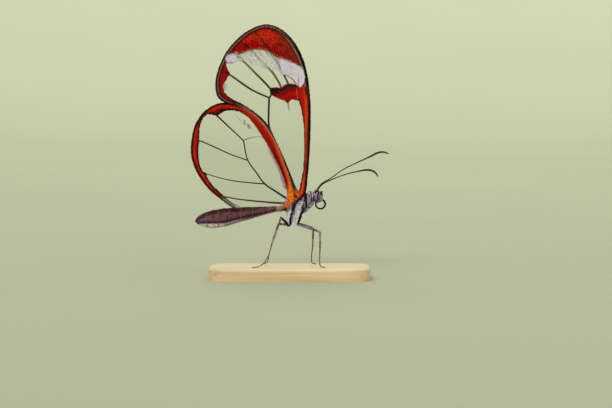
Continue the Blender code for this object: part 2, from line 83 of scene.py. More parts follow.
HINDWING_VEINS = [
    (0.10, 0.09, [(0.0, 10.4), (-2.3, 11.9), (-4.0, 13.1), (-5.4, 15.0), (-6.7, 16.9), (-7.4, 20.1)]),
    (0.08, 0.07, [(-4.0, 13.1), (-6.6, 13.3), (-9.0, 13.6), (-11.3, 14.1), (-13.2, 14.7), (-14.6, 15.2)]),
    (0.09, 0.07, [(-6.7, 16.9), (-9.5, 17.9), (-12.1, 19.1), (-14.4, 20.1), (-15.5, 20.5)]),
    (0.08, 0.10, [(-7.4, 20.1), (-9.5, 22.1), (-11.6, 24.1), (-12.7, 25.1)]),
    (0.06, 0.02, [(-7.4, 20.1), (-6.5, 20.5), (-5.3, 20.7), (-4.2, 20.65)]),
    (0.08, 0.07, [(-0.7, 9.9), (-3.4, 10.1), (-6.4, 10.4), (-8.7, 10.7), (-10.7, 11.1)]),
    (0.07, 0.03, [(-11.9, 12.3), (-10.7, 11.1), (-9.4, 10.05), (-8.1, 9.35)]),
]
# Edges of the clear windows: the forewing's in lengths that meet at corners
FOREWING_COSTAL_EDGE = [
    (1.5, 11.6), (1.8, 12.8), (2.3, 15.2), (2.5, 18.5), (2.5, 21.7), (2.3, 23.7), (2.0, 25.3), (1.7, 26.35),
]
FOREWING_BAR_BELOW = [
    (1.7, 26.35), (0.95, 26.6), (0.3, 26.6), (-0.2, 26.1), (-0.7, 26.45), (-1.5, 26.75), (-2.15, 27.05),
    (-2.8, 27.5),
]
FOREWING_BAR_ABOVE = [
    (-2.8, 27.5), (-2.9, 28.0), (-2.8, 28.4), (-2.0, 28.45), (-1.2, 28.25), (-0.75, 28.75), (0.15, 29.0),
    (1.35, 28.9),
]
WHITE_BAND_BELOW = [
    (1.35, 28.9), (0.6, 29.9), (-0.35, 30.5), (-1.5, 30.8), (-2.8, 31.2), (-4.4, 31.8), (-6.35, 32.5),
    (-8.0, 32.7), (-9.1, 32.6), (-9.9, 32.6), (-10.3, 33.05),
]
FOREWING_OUTER_EDGE = [
    (-10.3, 33.05), (-10.15, 32.1), (-9.8, 31.3), (-9.5, 30.7), (-10.0, 30.2), (-10.1, 29.75), (-10.6, 29.1),
    (-10.7, 28.5), (-10.4, 27.8), (-9.75, 27.05), (-8.8, 26.45), (-7.5, 25.8),
]
FOREWING_INNER_EDGE = [
    (-7.5, 25.8), (-6.0, 24.85), (-4.4, 23.5), (-3.2, 22.0), (-1.7, 18.8), (-0.9, 16.8), (0.1, 14.3),
    (0.9, 12.3), (1.5, 11.6),
]
WHITE_BAND_ABOVE = [
    (-10.3, 33.05), (-10.3, 33.4), (-9.9, 33.95), (-9.2, 34.05), (-8.5, 34.2), (-8.0, 33.95), (-7.0, 34.3),
    (-6.0, 34.7), (-5.05, 34.75), (-3.9, 34.65), (-2.95, 34.1), (-2.0, 33.55), (-0.85, 33.15), (0.15, 32.8),
    (1.1, 32.35), (1.75, 32.0), (2.2, 31.7), (2.5, 30.3), (2.3, 29.3), (1.85, 28.75), (1.35, 28.9),
]
HINDWING_WINDOW_EDGE = [
    (-0.3, 10.6), (-0.28, 11.4), (-0.36, 12.2), (-0.62, 13.2), (-1.4, 15.3), (-2.75, 18.1), (-3.3, 19.1),
    (-4.4, 20.9), (-5.5, 22.6), (-6.6, 23.9), (-7.9, 24.7), (-9.1, 25.0), (-10.5, 24.8), (-11.5, 24.15),
    (-12.15, 24.3), (-13.0, 24.4), (-13.85, 23.7), (-14.35, 22.5), (-14.5, 20.7), (-14.5, 19.95),
    (-14.65, 19.05), (-14.6, 17.2), (-14.35, 15.85), (-13.9, 15.1), (-13.4, 14.75), (-13.25, 14.2),
    (-12.5, 13.0), (-11.9, 12.3), (-10.95, 11.45), (-10.55, 11.0), (-10.35, 10.5), (-8.85, 9.4),
    (-7.5, 8.85), (-6.3, 8.5), (-3.9, 8.75), (-2.2, 9.0), (-1.3, 9.3), (-0.85, 9.65), (-0.45, 10.1),
]
# Small marks on the hindwing: the dark corner of its window, and a grey smudge beside the cell
HINDWING_NOTCH = [(-11.6, 24.1), (-10.9, 24.9), (-10.2, 25.0)]
HINDWING_SMUDGE = [(-8.0, 23.6), (-7.2, 22.9), (-6.3, 21.9)]
# Half the membrane's drawn thickness, its share of the outline's size, its rings, and the points of each
MEMBRANE_HALF = 0.03
MEMBRANE_SHARE = 0.992
MEMBRANE_RINGS = 34
MEMBRANE_POINTS = 210
VEIN_SIDES = 8
FOREWING_MIDDLE = np.array((-1.6, 26.0))
HINDWING_MIDDLE = np.array((-7.5, 17.5))

# Wing scales: the real ones are about 0.1 mm long, and are drawn coarser so that they show
SCALE_SPACING = 0.14
SCALE_LENGTH = 0.32
SCALE_WIDTH = 0.21
SCALE_LIFT = 0.012
SCALE_JITTER = 0.025
HAIR_SCALE_LENGTH = 0.6
HAIR_SCALE_WIDTH = 0.045
# Unwrap of a coat, in shares of the square: a scale's or tuft's patch, and a quarter's margin and inner side
PATCH = 0.003
TILE_MARGIN, TILE_SIDE = 0.02, 0.46
WING_SEED, BODY_SEED, FACE_SEED, LEG_SEED = 101, 7, 17, 27

# Body forms: x, height of the back, height of the underside, half-width
THORAX_STATIONS = [
    (-0.95, 9.35, 8.75, 0.35), (-0.4, 10.1, 8.3, 0.95), (0.3, 10.7, 8.05, 1.25),
    (1.0, 11.05, 8.05, 1.35), (1.7, 11.35, 8.25, 1.3), (2.3, 11.55, 8.7, 1.1),
    (2.9, 11.65, 9.35, 0.85), (3.4, 11.6, 9.9, 0.66), (4.0, 11.4, 10.3, 0.5),
]
ABDOMEN_STATIONS = [
    (-0.5, 9.6, 8.6, 0.5), (-1.1, 9.45, 8.7, 0.45), (-2.4, 9.4, 8.5, 0.62), (-4.2, 9.35, 8.05, 0.76),
    (-6.2, 9.3, 7.45, 0.88), (-8.2, 9.25, 6.9, 0.98), (-10.3, 9.1, 6.25, 1.05),
    (-11.9, 8.85, 5.95, 1.02), (-13.3, 8.5, 5.95, 0.88), (-14.4, 7.95, 6.3, 0.6), (-15.2, 7.3, 6.7, 0.28),
]
ABDOMEN_RINGS = 8
ABDOMEN_RING = (ABDOMEN_STATIONS[0][0] - ABDOMEN_STATIONS[-1][0]) / ABDOMEN_RINGS
HEAD_CENTRE = np.array((4.35, 0.0, 10.95))
HEAD_HALF = (0.66, 0.76, 0.84)
EYE_OFFSET = (0.06, 0.62, 0.02)
EYE_HALF = (0.46, 0.42, 0.54)
COXAE = {
    "coxa_mid": [(1.8, 1.1, 10.3), (1.58, 1.3, 9.1), (1.5, 1.3, 8.4), (1.43, 1.25, 7.8), (1.23, 1.15, 7.0),
                 (1.1, 1.1, 6.5)],
    "coxa_hind": [(0.1, 1.15, 9.9), (0.05, 1.3, 9.0), (0.1, 1.2, 8.2), (0.11, 1.12, 7.6), (0.06, 1.06, 7.0),
                  (-0.02, 1.0, 6.35)],
}
COXA_DEPTH = (0.42, 0.52, 0.54, 0.53, 0.43, 0.19)
COXA_WIDTH = (0.3, 0.4, 0.4, 0.34, 0.26, 0.15)
# Rounded forms of the skin: centre and half-axes. Those of a side give their distance from the middle plane
MIDDLE_FORMS = [
    ((4.65, 0.0, 10.9), (0.42, 0.46, 0.66)), ((4.45, 0.0, 10.5), (0.42, 0.36, 0.34)),
    ((3.4, 0.0, 10.75), (0.5, 0.62, 0.8)), ((1.5, 0.0, 10.7), (1.2, 1.05, 0.95)),
]
# The last two are the joints that carry the wings
SIDE_FORMS = [
    ((2.2, 0.95, 10.2), (0.55, 0.45, 0.7)), ((2.2, 0.85, 10.95), (0.26, 0.35, 0.5)),
    ((0.6, 1.05, 9.6), (0.7, 0.42, 0.6)),
    ((0.15, 1.75, 9.9), (0.38, 0.62, 0.34)), ((1.3, 1.25, 10.45), (0.45, 0.42, 0.36)),
]
# The skin's grain when its forms are melted together, and the passes that smooth it
SKIN_VOXEL = 0.07
SKIN_RELAX = 6
# Regions of the body's coat: the way its tufts run, how far they rise off the skin, their length and width, and
# their unwrap as axis, middle line, both ends and corner
BODY_TUFTS = 19000
REGIONS = {
    "thorax": ((-0.9, 0.0, -0.35), 0.2, 0.42, 0.085, (0, (0.0, 10.0), -1.3, 2.9, (0.5, 0.0))),
    "abdomen": ((-1.0, 0.0, -0.15), 0.06, 0.26, 0.15, (0, (0.0, 7.9), -15.5, -1.3, (0.0, 0.0))),
    "face": ((0.12, 0.0, 1.0), 0.28, 0.5, 0.07, (2, (4.0, 0.0), 9.6, 12.0, (0.0, 0.5))),
    "hip": ((-0.15, 0.0, -1.0), 0.06, 0.26, 0.15, (2, (0.8, 0.0), 6.2, 9.2, (0.5, 0.5))),
}
ABDOMEN_FRONT, FACE_REAR, HIP_TOP, HIP_REAR = -1.3, 2.85, 9.2, -0.7
# No tuft grows within this squared distance of an eye's middle, in its half-axes
EYE_CLEARANCE = 1.06
EYE_ROWS, EYE_SIDES = 70, 110
FACET_WAVES = 36.0
FACET_DEPTH = 0.008
# Markings of the body: the top of the abdomen and the line over its pale belly, as x and height
ABDOMEN_BACK = [(-15.2, -14.4, -13.3, -11.9, -10.3, -6.2, -2.4), (7.4, 7.95, 8.5, 8.85, 9.1, 9.3, 9.4)]
BELLY_LINE = [(-14.8, -12.1, -10.5, -8.7, -7.9, -6.4, -5.0, -2.0), (6.6, 6.65, 6.75, 7.2, 7.4, 7.7, 8.0, 8.75)]
# Patches of the thorax's coat: x, z, half-lengths along them, colour
BODY_PATCHES = [
    (1.15, 10.2, 0.45, 0.6, "#6A3A46"), (1.28, 10.45, 0.22, 0.3, "#2A0E18"), (1.0, 9.5, 0.2, 0.35, "#3A1820"),
    (0.78, 10.3, 0.2, 0.25, "#D8C4D4"), (0.62, 9.9, 0.14, 0.35, "#CBB4C8"), (0.95, 10.65, 0.2, 0.2, "#C8B8D8"),
    (1.15, 10.95, 0.22, 0.3, "#EED8CC"), (1.75, 10.85, 0.2, 0.22, "#8A2A20"),
    (2.2, 11.0, 0.24, 0.62, "#D4DAEE"), (2.6, 10.75, 0.26, 0.8, "#1A0508"),
    (2.42, 10.3, 0.3, 0.3, "#1A0508"), (2.14, 9.5, 0.16, 0.5, "#120608"),
    (2.68, 9.7, 0.16, 0.4, "#120608"), (2.4, 9.6, 0.13, 0.6, "#B8ACB8"), (0.62, 8.8, 0.22, 1.0, "#1E100E"),
    (-0.65, 9.0, 0.25, 0.45, "#3A1418"), (-0.85, 9.05, 0.2, 0.2, "#5A1414"), (2.4, 9.0, 0.2, 0.2, "#6A4A78"),
    (3.4, 10.35, 0.12, 0.12, "#F4ECF2"),
]
# The white lobe of each hip in the side view: height, its hind edge and its front edge
MID_LOBE = [(6.6, 0.84, 1.12), (7.0, 0.8, 1.28), (7.8, 0.8, 1.55), (8.4, 0.8, 1.7), (9.0, 0.86, 1.88),
            (9.4, 1.05, 1.98), (9.8, 1.28, 2.08), (10.1, 1.42, 2.2), (10.4, 1.6, 2.28)]
HIND_LOBE = [(6.6, -0.2, -0.02), (7.0, -0.36, -0.06), (7.8, -0.5, 0.03), (8.2, -0.5, 0.08), (8.6, -0.48, 0.34),
             (9.0, -0.44, 0.36), (9.8, -0.25, 0.42), (10.05, -0.15, 0.3)]
ANTENNA_LEFT = [
    (4.2, 0.3, 11.6), (5.1, 0.7, 12.95), (6.8, 1.3, 14.0), (8.5, 1.9, 15.2), (10.8, 2.5, 16.35),
    (13.1, 2.9, 17.4), (14.3, 3.0, 18.0), (15.2, 3.05, 18.15), (16.2, 3.1, 17.85),
]
ANTENNA_RIGHT = [
    (4.2, -0.3, 11.6), (5.2, -1.1, 12.95), (7.2, -2.4, 14.0), (9.1, -3.7, 14.75), (10.8, -4.9, 15.2),
    (12.3, -6.0, 15.5), (13.2, -6.6, 15.4), (13.8, -7.0, 15.0), (14.15, -7.15, 14.4),
]
ANTENNA_RADII = (0.15, 0.125, 0.105, 0.095, 0.09, 0.09, 0.095, 0.105, 0.13, 0.17, 0.17, 0.1)
ANTENNA_RINGS = 38
PALP_PATH = [(4.6, 0.3, 10.3), (4.9, 0.32, 10.3), (5.08, 0.32, 10.6), (5.1, 0.3, 11.15), (5.16, 0.28, 11.75)]
PALP_RADII = (0.12, 0.17, 0.18, 0.15, 0.05)
# Tongue: its coil's middle as x and height, radius, tube radius, first and last angle in degrees, and rings
COIL_CENTRE = (5.02, 9.8)
COIL_RADIUS = 0.78
COIL_TUBE = 0.17
COIL_TURN = (80.0, -212.0)
COIL_RINGS = 60
FORELEG_PATH = [(3.5, 0.45, 10.1), (3.5, 0.55, 9.75), (3.2, 0.62, 9.35), (2.8, 0.64, 8.95), (2.45, 0.62, 8.65)]
FORELEG_RADII = (0.16, 0.15, 0.13, 0.12, 0.05)
FACE_TUFTS = 700
# Each walking leg: hip, knee, ankle, then the foot
LEGS = {
    "mid_right": [(1.15, -1.1, 6.6), (4.95, -3.0, 5.4), (4.9, -3.7, 2.5),
                  [(4.88, -4.0, 0.6), (5.0, -4.05, 0.0), (5.7, -4.15, -0.22)]],
    "mid_left": [(1.15, 1.1, 6.6), (3.85, 3.1, 5.7), (3.75, 3.7, 2.6),
                 [(3.55, 4.0, 0.7), (3.65, 4.05, 0.02), (4.3, 4.15, -0.22)]],
    "hind_right": [(-0.1, -1.0, 6.3), (-1.35, -2.6, 7.7), (-2.75, -3.5, 3.7),
                   [(-3.4, -3.8, 1.6), (-4.2, -4.0, 0.4), (-5.0, -4.1, -0.1), (-5.9, -4.15, -0.22)]],
    "hind_left": [(-0.1, 1.0, 6.3), (-1.85, 2.7, 6.4), (-2.85, 3.5, 3.4),
                  [(-3.4, 3.8, 1.3), (-3.65, 3.9, 0.2), (-4.3, 4.0, -0.22)]],
}
FEMUR_RADII = (0.12, 0.16, 0.16, 0.14, 0.12)
TIBIA_RADII = (0.13, 0.12, 0.12, 0.12, 0.1)
TARSUS_RADII = (0.1, 0.09, 0.085, 0.08, 0.08, 0.075, 0.07)
CLAW_RADII = (0.035, 0.03, 0.012)
# Light and dark of each part of a leg, and of the near hind femur
LEG_COLOURS = {"femur": ("#A49AAC", "#5A4852"), "tibia": ("#BCA6AC", "#7A5854"),
               "tarsus": ("#8A4428", "#4A1E10")}
DARK_FEMUR = ("#3A3430", "#14100C")
LEG_TUFTS = {"femur": 420, "tibia": 300}

# Studio, in metres: the floor's flat radius, the run of its rise, its edge, and its sides
FLOOR_FLAT = 0.9
FLOOR_RISE = 1.3
FLOOR_EDGE = 2.2
FLOOR_SIDES = 96
# Lamps: name, place, angle across in degrees and strength
LAMPS = [
    ("key", (-0.3, -0.95, 0.62), 24.0, 3.3), ("fill", (0.7, -0.8, 0.75), 50.0, 0.6),
    ("rim", (-0.2, 0.7, 0.7), 40.0, 0.9),
]
LAMP_TARGET = (0.0, 0.0, 0.02)
SKY_STRENGTH = 0.55
# Camera: lens and sensor in millimetres, the width it sees, its target, and its height above level in degrees
CAMERA_LENS, CAMERA_SENSOR = 150.0, 36.0
VIEW_WIDTH = 99.1
VIEW_TARGET = (2.67, 0.0, 12.1)
VIEW_LIFT = 2.5


def colour(text):
    """An sRGB hex colour as linear red, green and blue."""
    value = np.array([int(text[i:i + 2], 16) for i in (1, 3, 5)]) / 255.0
    return np.where(value <= 0.04045, value / 12.92, ((value + 0.055) / 1.055) ** 2.4)


def unit(v):
    """Rows at length one."""
    return v / np.maximum(np.linalg.norm(v, axis=-1, keepdims=True), 1e-9)


def ramp(x, low, high):
    """0 below low, 1 above high, and a smooth S between."""
    t = np.clip((x - low) / (high - low), 0.0, 1.0)
    return t * t * (3.0 - 2.0 * t)


def fall(x, low, high):
    """1 below low, 0 above high, and a smooth S between."""
    return 1.0 - ramp(x, low, high)


def tint(base, over, weight):
    """The base colours moved towards another, a hex text or a colour for each row, by each row's weight."""
    over = colour(over) if isinstance(over, str) else over
    return base + (over - base) * np.clip(weight, 0.0, 1.0)[:, None]


def layers(tone, *rows):
    """Colours laid one over another: each row is a colour and its weight at every point."""
    for over, weight in rows:
        tone = tint(tone, over, weight)
    return tone


def even(points, text):
    """One colour for every point."""
    return np.tile(colour(text), (len(points), 1))


def mottle(points, size, seed):
    """Smooth blotches from -1 to 1: the sum of seven waves about `size` long, in drawn directions."""
    draw = np.random.default_rng(seed)
    waves = unit(draw.normal(size=(7, points.shape[1]))) * (2.0 * math.pi / size)
    waves *= draw.uniform(0.6, 1.5, size=(7, 1))
    return np.clip(np.sin(points @ waves.T + draw.uniform(0, 6.3, 7)).sum(axis=1) / 3.0, -1.0, 1.0)


def spline(points, count, closed=False):
    """Evenly spaced points on a centripetal Catmull-Rom curve through the given ones."""
    p = np.asarray(points, float)
    q = np.vstack([p[-1:], p, p[:2]]) if closed else np.vstack([2 * p[:1] - p[1:2], p, 2 * p[-1:] - p[-2:-1]])
    a, b, c, d = (q[i:len(q) - 3 + i, None] for i in range(4))
    t1 = np.sqrt(np.linalg.norm(b - a, axis=-1))[..., None]
    t2 = t1 + np.sqrt(np.linalg.norm(c - b, axis=-1))[..., None]
    t3 = t2 + np.sqrt(np.linalg.norm(d - c, axis=-1))[..., None]
    t = t1 + (t2 - t1) * np.linspace(0.0, 1.0, 16, endpoint=False)[None, :, None]
    ab, bc, cd = a + (b - a) * t / t1, b + (c - b) * (t - t1) / (t2 - t1), c + (d - c) * (t - t2) / (t3 - t2)
    abc, bcd = ab + (bc - ab) * t / t2, bc + (cd - bc) * (t - t1) / (t3 - t1)
    line = (abc + (bcd - abc) * (t - t1) / (t2 - t1)).reshape(-1, p.shape[1])
    line = np.vstack([line, p[:1] if closed else p[-1:]])
    run = np.concatenate([[0.0], np.cumsum(np.linalg.norm(np.diff(line, axis=0), axis=1))])
    at = np.linspace(0.0, run[-1], count, endpoint=not closed)
    return np.column_stack([np.interp(at, run, line[:, k]) for k in range(p.shape[1])])


def distance(points, line, closed=False):
    """Shortest distance from each point to a polyline."""
    a = line if closed else line[:-1]
    run = np.roll(line, -1, axis=0) - line if closed else np.diff(line, axis=0)
    best = np.full(len(points), np.inf)
    for part in np.array_split(np.arange(len(a)), max(1, len(a) // 40)):
        away = points[:, None] - a[None, part]
        t = np.clip((away * run[part]).sum(-1) / (run[part] ** 2).sum(-1), 0.0, 1.0)
        best = np.minimum(best, np.linalg.norm(away - t[..., None] * run[part], axis=-1).min(axis=1))
    return best


def inside(points, loop):
    """Which points lie inside a closed outline, by counting crossings."""
    a, b = loop[None], np.roll(loop, -1, axis=0)[None]
    x, z = points[:, 0, None], points[:, 1, None]
    crosses = (a[..., 1] > z) != (b[..., 1] > z)
    rise = np.where(a[..., 1] == b[..., 1], 1.0, b[..., 1] - a[..., 1])
    left = x < a[..., 0] + (b[..., 0] - a[..., 0]) * (z - a[..., 1]) / rise
    return (crosses & left).sum(axis=1) % 2 == 1


def ring_faces(rows, sides):
    """Quads of a tube of rings, and the triangles of its two ends, whose points follow the rings."""
    k = np.arange(sides)
    n = (k + 1) % sides
    r = np.arange(rows - 1)[:, None] * sides
    quads = np.stack([r + k, r + n, r + sides + n, r + sides + k], axis=-1).reshape(-1, 4)
    last = (rows - 1) * sides
    start = np.stack([np.full(sides, rows * sides), n, k], axis=-1)
    end = np.stack([np.full(sides, rows * sides + 1), last + k, last + n], axis=-1)
    return [quads, start, end]


def tube(path, up, across, sides):
    """Ellipses square to a path, `up` high and `across` wide, closed at both ends.

    A point is path + up cos(a) rise + across sin(a) side, where side is the body's left made
    square to the path and rise is square to both.
    """
    path = np.asarray(path, float)
    up = np.broadcast_to(up, len(path))[:, None, None]
    across = np.broadcast_to(across, len(path))[:, None, None]
    along = unit(np.gradient(path, axis=0))
    side = unit(np.array((0.0, 1.0, 0.0)) - along[:, 1:2] * along)
    rise = np.cross(side, along)
    a = np.linspace(0.0, 2.0 * math.pi, sides, endpoint=False)[None, :, None]
    rings = path[:, None] + up * np.cos(a) * rise[:, None] + across * np.sin(a) * side[:, None]
    return np.vstack([rings.reshape(-1, 3), path[:1], path[-1:]]), ring_faces(len(path), sides)


def join(shapes):
    """Several (points, faces) as one."""
    start, points, faces = 0, [], []
    for p, f in shapes:
        points.append(p)
        faces += [part + start for part in f]
        start += len(p)
    return np.vstack(points), faces


def rounded(count, reach=0.08):
    """Factors along a tube that close it in quarter circles: sqrt(1 - (1 - t / reach)^2) from each end."""
    t = np.linspace(0.0, 1.0, count)
    near, far = np.clip(t / reach, 0.0, 1.0), np.clip((1.0 - t) / reach, 0.0, 1.0)
    near, far = np.sqrt(1.0 - (1.0 - near) ** 2), np.sqrt(1.0 - (1.0 - far) ** 2)
    return np.clip(near * far, 0.05, 1.0)


def volume(points, faces):
    """Six times the signed volume inside closed faces."""
    total = 0.0
    for part in faces:
        a = points[part[:, 0]]
        for k in range(1, part.shape[1] - 1):
            total += np.einsum("ij,ij->", a, np.cross(points[part[:, k]], points[part[:, k + 1]]))
    return total


def add_piece(name, points, faces, finish, slot, replaced=(), colours=None, uv=None, smooth=True):
    """One piece of the model: a mesh from arrays, placed, finished and tied to the body."""
    points = np.asarray(points, float)
    if volume(points, faces) < 0.0:
        faces = [part[:, ::-1] for part in faces]
    loops = np.concatenate([part.ravel() for part in faces]).astype(np.int32)
    totals = np.concatenate([np.full(len(part), part.shape[1]) for part in faces]).astype(np.int32)
    mesh = bpy.data.meshes.new(name)
    mesh.vertices.add(len(points))
    mesh.vertices.foreach_set("co", ((points + (0.0, 0.0, FEET_LEVEL)) * MM).astype(np.float32).ravel())
    mesh.loops.add(len(loops))
    mesh.loops.foreach_set("vertex_index", loops)
    mesh.polygons.add(len(totals))
    mesh.polygons.foreach_set("loop_start", np.concatenate([[0], np.cumsum(totals)[:-1]]).astype(np.int32))
    mesh.polygons.foreach_set("loop_total", totals)
    if colours is not None:
        layer = mesh.color_attributes.new("scale_colour", "FLOAT_COLOR", "POINT")
        layer.data.foreach_set("color", np.column_stack([colours, np.ones(len(colours))]).ravel())
    if uv is not None:
        mesh.uv_layers.new(name="OFBake").data.foreach_set("uv", uv[loops].ravel())
    mesh.update(calc_edges=True)
    mesh.validate()
    if smooth:
        mesh.shade_smooth()
    else:
        mesh.shade_flat()
    mesh.materials.append(finish)
    piece = bpy.data.objects.new(name, mesh)
    bpy.context.collection.objects.link(piece)
    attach(piece, "root")
    if replaced:
        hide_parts(*replaced)
    return piece


def leaf_shape(outline, thick):
    """A small closed plate: its rim as (along, across, up), a top of quads and an underside point.

    A rim of fewer than six points keeps its top as one face.
    """
    rim = np.array(outline, float)
    shape = np.vstack([rim, [(0.5, 0.0, -thick)]])
    count, half = len(rim), len(rim) // 2
    if half < 3:
        top = [tuple(range(count))]
    else:
        top = [(0, k, k + 1, half) for k in range(1, half - 1)]
        top += [(half, k, k + 1, 0) for k in range(half + 1, count - 1)]
    under = [(count, (k + 1) % count, k) for k in range(count)]
    return shape, [np.array(top), np.array(under)]


def spread(faces, copies, size):
    """The faces of one small shape repeated for every copy of its points."""
    step = (np.arange(copies) * size)[:, None, None]
    return [(part[None] + step).reshape(-1, part.shape[1]) for part in faces]


def plant(shape, roots, along, up, length, width):
    """Copies of a small shape on its roots.

    Each point (a, b, c) goes to root + a length along + b width across + c length up.
    """
    across = np.cross(up, along)
    points = (roots[:, None] + (along * length[:, None])[:, None] * shape[:, 0, None]
              + (across * width[:, None])[:, None] * shape[:, 1, None]
              + (up * length[:, None])[:, None] * shape[:, 2, None])
    return points.reshape(-1, 3)


def lie(normal, flow, rise):
    """The way tufts run: along the flow made flat to the skin and raised off it, and up square to that."""
    flat = unit(flow - (flow * normal).sum(1, keepdims=True) * normal)
    along = unit(flat + normal * rise)
    return along, unit(normal - (normal * along).sum(1, keepdims=True) * along)


def add_coat(name, slot, shape, faces, roots, along, up, length, width, tones, places):
    """One coat piece: a shape on every root, its tip a little lighter, its patch at the root's place."""
    points = plant(shape, roots, along, up, length, width)
    lift = 0.88 + 0.2 * shape[:, 0]
    tones = tones if tones.ndim == 3 else tones[:, None]
    colours = np.clip((tones * lift[:, None]).reshape(-1, 3), 0.0, 1.0)
    uv = (places[:, None] + PATCH * (shape[None, :, :2] * (0.5, 0.5))).reshape(-1, 2)
    return add_piece(name, points, spread(faces, len(roots), len(shape)), SCALE_FINISH, slot, (), colours, uv,
                     smooth=False)


def stack(rows):
    """Rows of columns joined end to end, column by column."""
    return [np.concatenate(column) for column in zip(*rows)]


def shade(d, stops):
    """Colours read off (distance, hex) stops, in a straight blend from one to the next."""
    tones = np.array([colour(text) for _, text in stops])
    return np.column_stack([np.interp(d, [at for at, _ in stops], tones[:, k]) for k in range(3)])


def band(d, middle, half):
    """1 on the middle of a line, falling to 0 at half its width."""
    return fall(np.abs(d - middle), half * 0.5, half)


def spot(x, z, middle, half, ragged=0.0, reach=1.0):
    """1 in the middle of an ellipse, falling to 0 at `reach` times its half-axes; `ragged` frays the edge."""
    return band(np.hypot((x - middle[0]) / half[0], (z - middle[1]) / half[1]) + ragged, 0.0, reach)


FORE_OUT = spline(FOREWING_OUTLINE, 150, closed=True)
HIND_OUT = spline(HINDWING_OUTLINE, 130, closed=True)
FORE_WINDOW = np.array(FOREWING_COSTAL_EDGE[:-1] + FOREWING_BAR_BELOW[:-1] + FOREWING_BAR_ABOVE[:-1]
                       + WHITE_BAND_BELOW[:-1] + FOREWING_OUTER_EDGE[:-1] + FOREWING_INNER_EDGE[:-1])
FORE_BAR = np.array(FOREWING_BAR_BELOW[:-1] + FOREWING_BAR_ABOVE)
FORE_WHITE = np.array(WHITE_BAND_BELOW[:-1] + WHITE_BAND_ABOVE[:-1])
WHITE_RIM = np.array(WHITE_BAND_ABOVE[:16])
HIND_WINDOW = spline(HINDWING_WINDOW_EDGE, 100, closed=True)


def on_wing(flat, wing, side, out=0.0):
    """Flat points (x, z) carried to a wing, `out` from its middle surface.

    They stand sideways at plane + spread e^-(r/reach)^2 + a gentle billow, r being the distance from the
    hinge, and the left wings are also turned about the hinge.
    """
    fore = wing == "forewing"
    r = np.linalg.norm(flat - HINGE, axis=-1)
    y = FOREWING_PLANE if fore else HINDWING_PLANE
    y = y + (FOREWING_ROOT_SPREAD if fore else HINDWING_ROOT_SPREAD) * np.exp(-(r / ROOT_REACH) ** 2)
    if not fore:
        y = y + ABDOMEN_SPREAD * np.clip((11.5 - flat[:, 1]) / 2.5, 0.0, 1.0)
    y = y + 0.09 * mottle(flat, 7.0, 21 + fore) * ramp(r, 3.0, 9.0) + out
    if side > 0.0:
        a = math.radians(LEFT_WING_TURN)
        flat = (flat - HINGE) @ np.array([[math.cos(a), math.sin(a)], [-math.sin(a), math.cos(a)]]) + HINGE
    return np.column_stack([flat[:, 0], side * y, flat[:, 1]])


def forewing_cover(p):
    """How densely scales stand on the forewing, and which places have narrow white hair-scales."""
    x, z = p.T
    clear, white = inside(p, FORE_WINDOW), inside(p, FORE_WHITE)
    streak = mottle(np.column_stack([x * 0.86 + z * 0.5, (x * 0.5 - z * 0.86) * 0.1]), 0.9, 8)
    ends = np.maximum(ramp(x + 0.5 * streak, -2.4, 0.2), fall(x + 0.3 * streak, -9.4, -8.0))
    thin, solid = 0.25 + 0.35 * ramp(streak, -0.3, 0.8), ramp(ends, 0.2, 0.7)
    patch = 0.45 * spot(x, z, (-10.0, 28.5), (0.5, 0.8))
    cover = np.where(clear, patch, 1.0)
    cover = np.where(white, thin + (1.0 - thin) * solid, cover)
    return cover, clear | (white & (solid < 0.3))


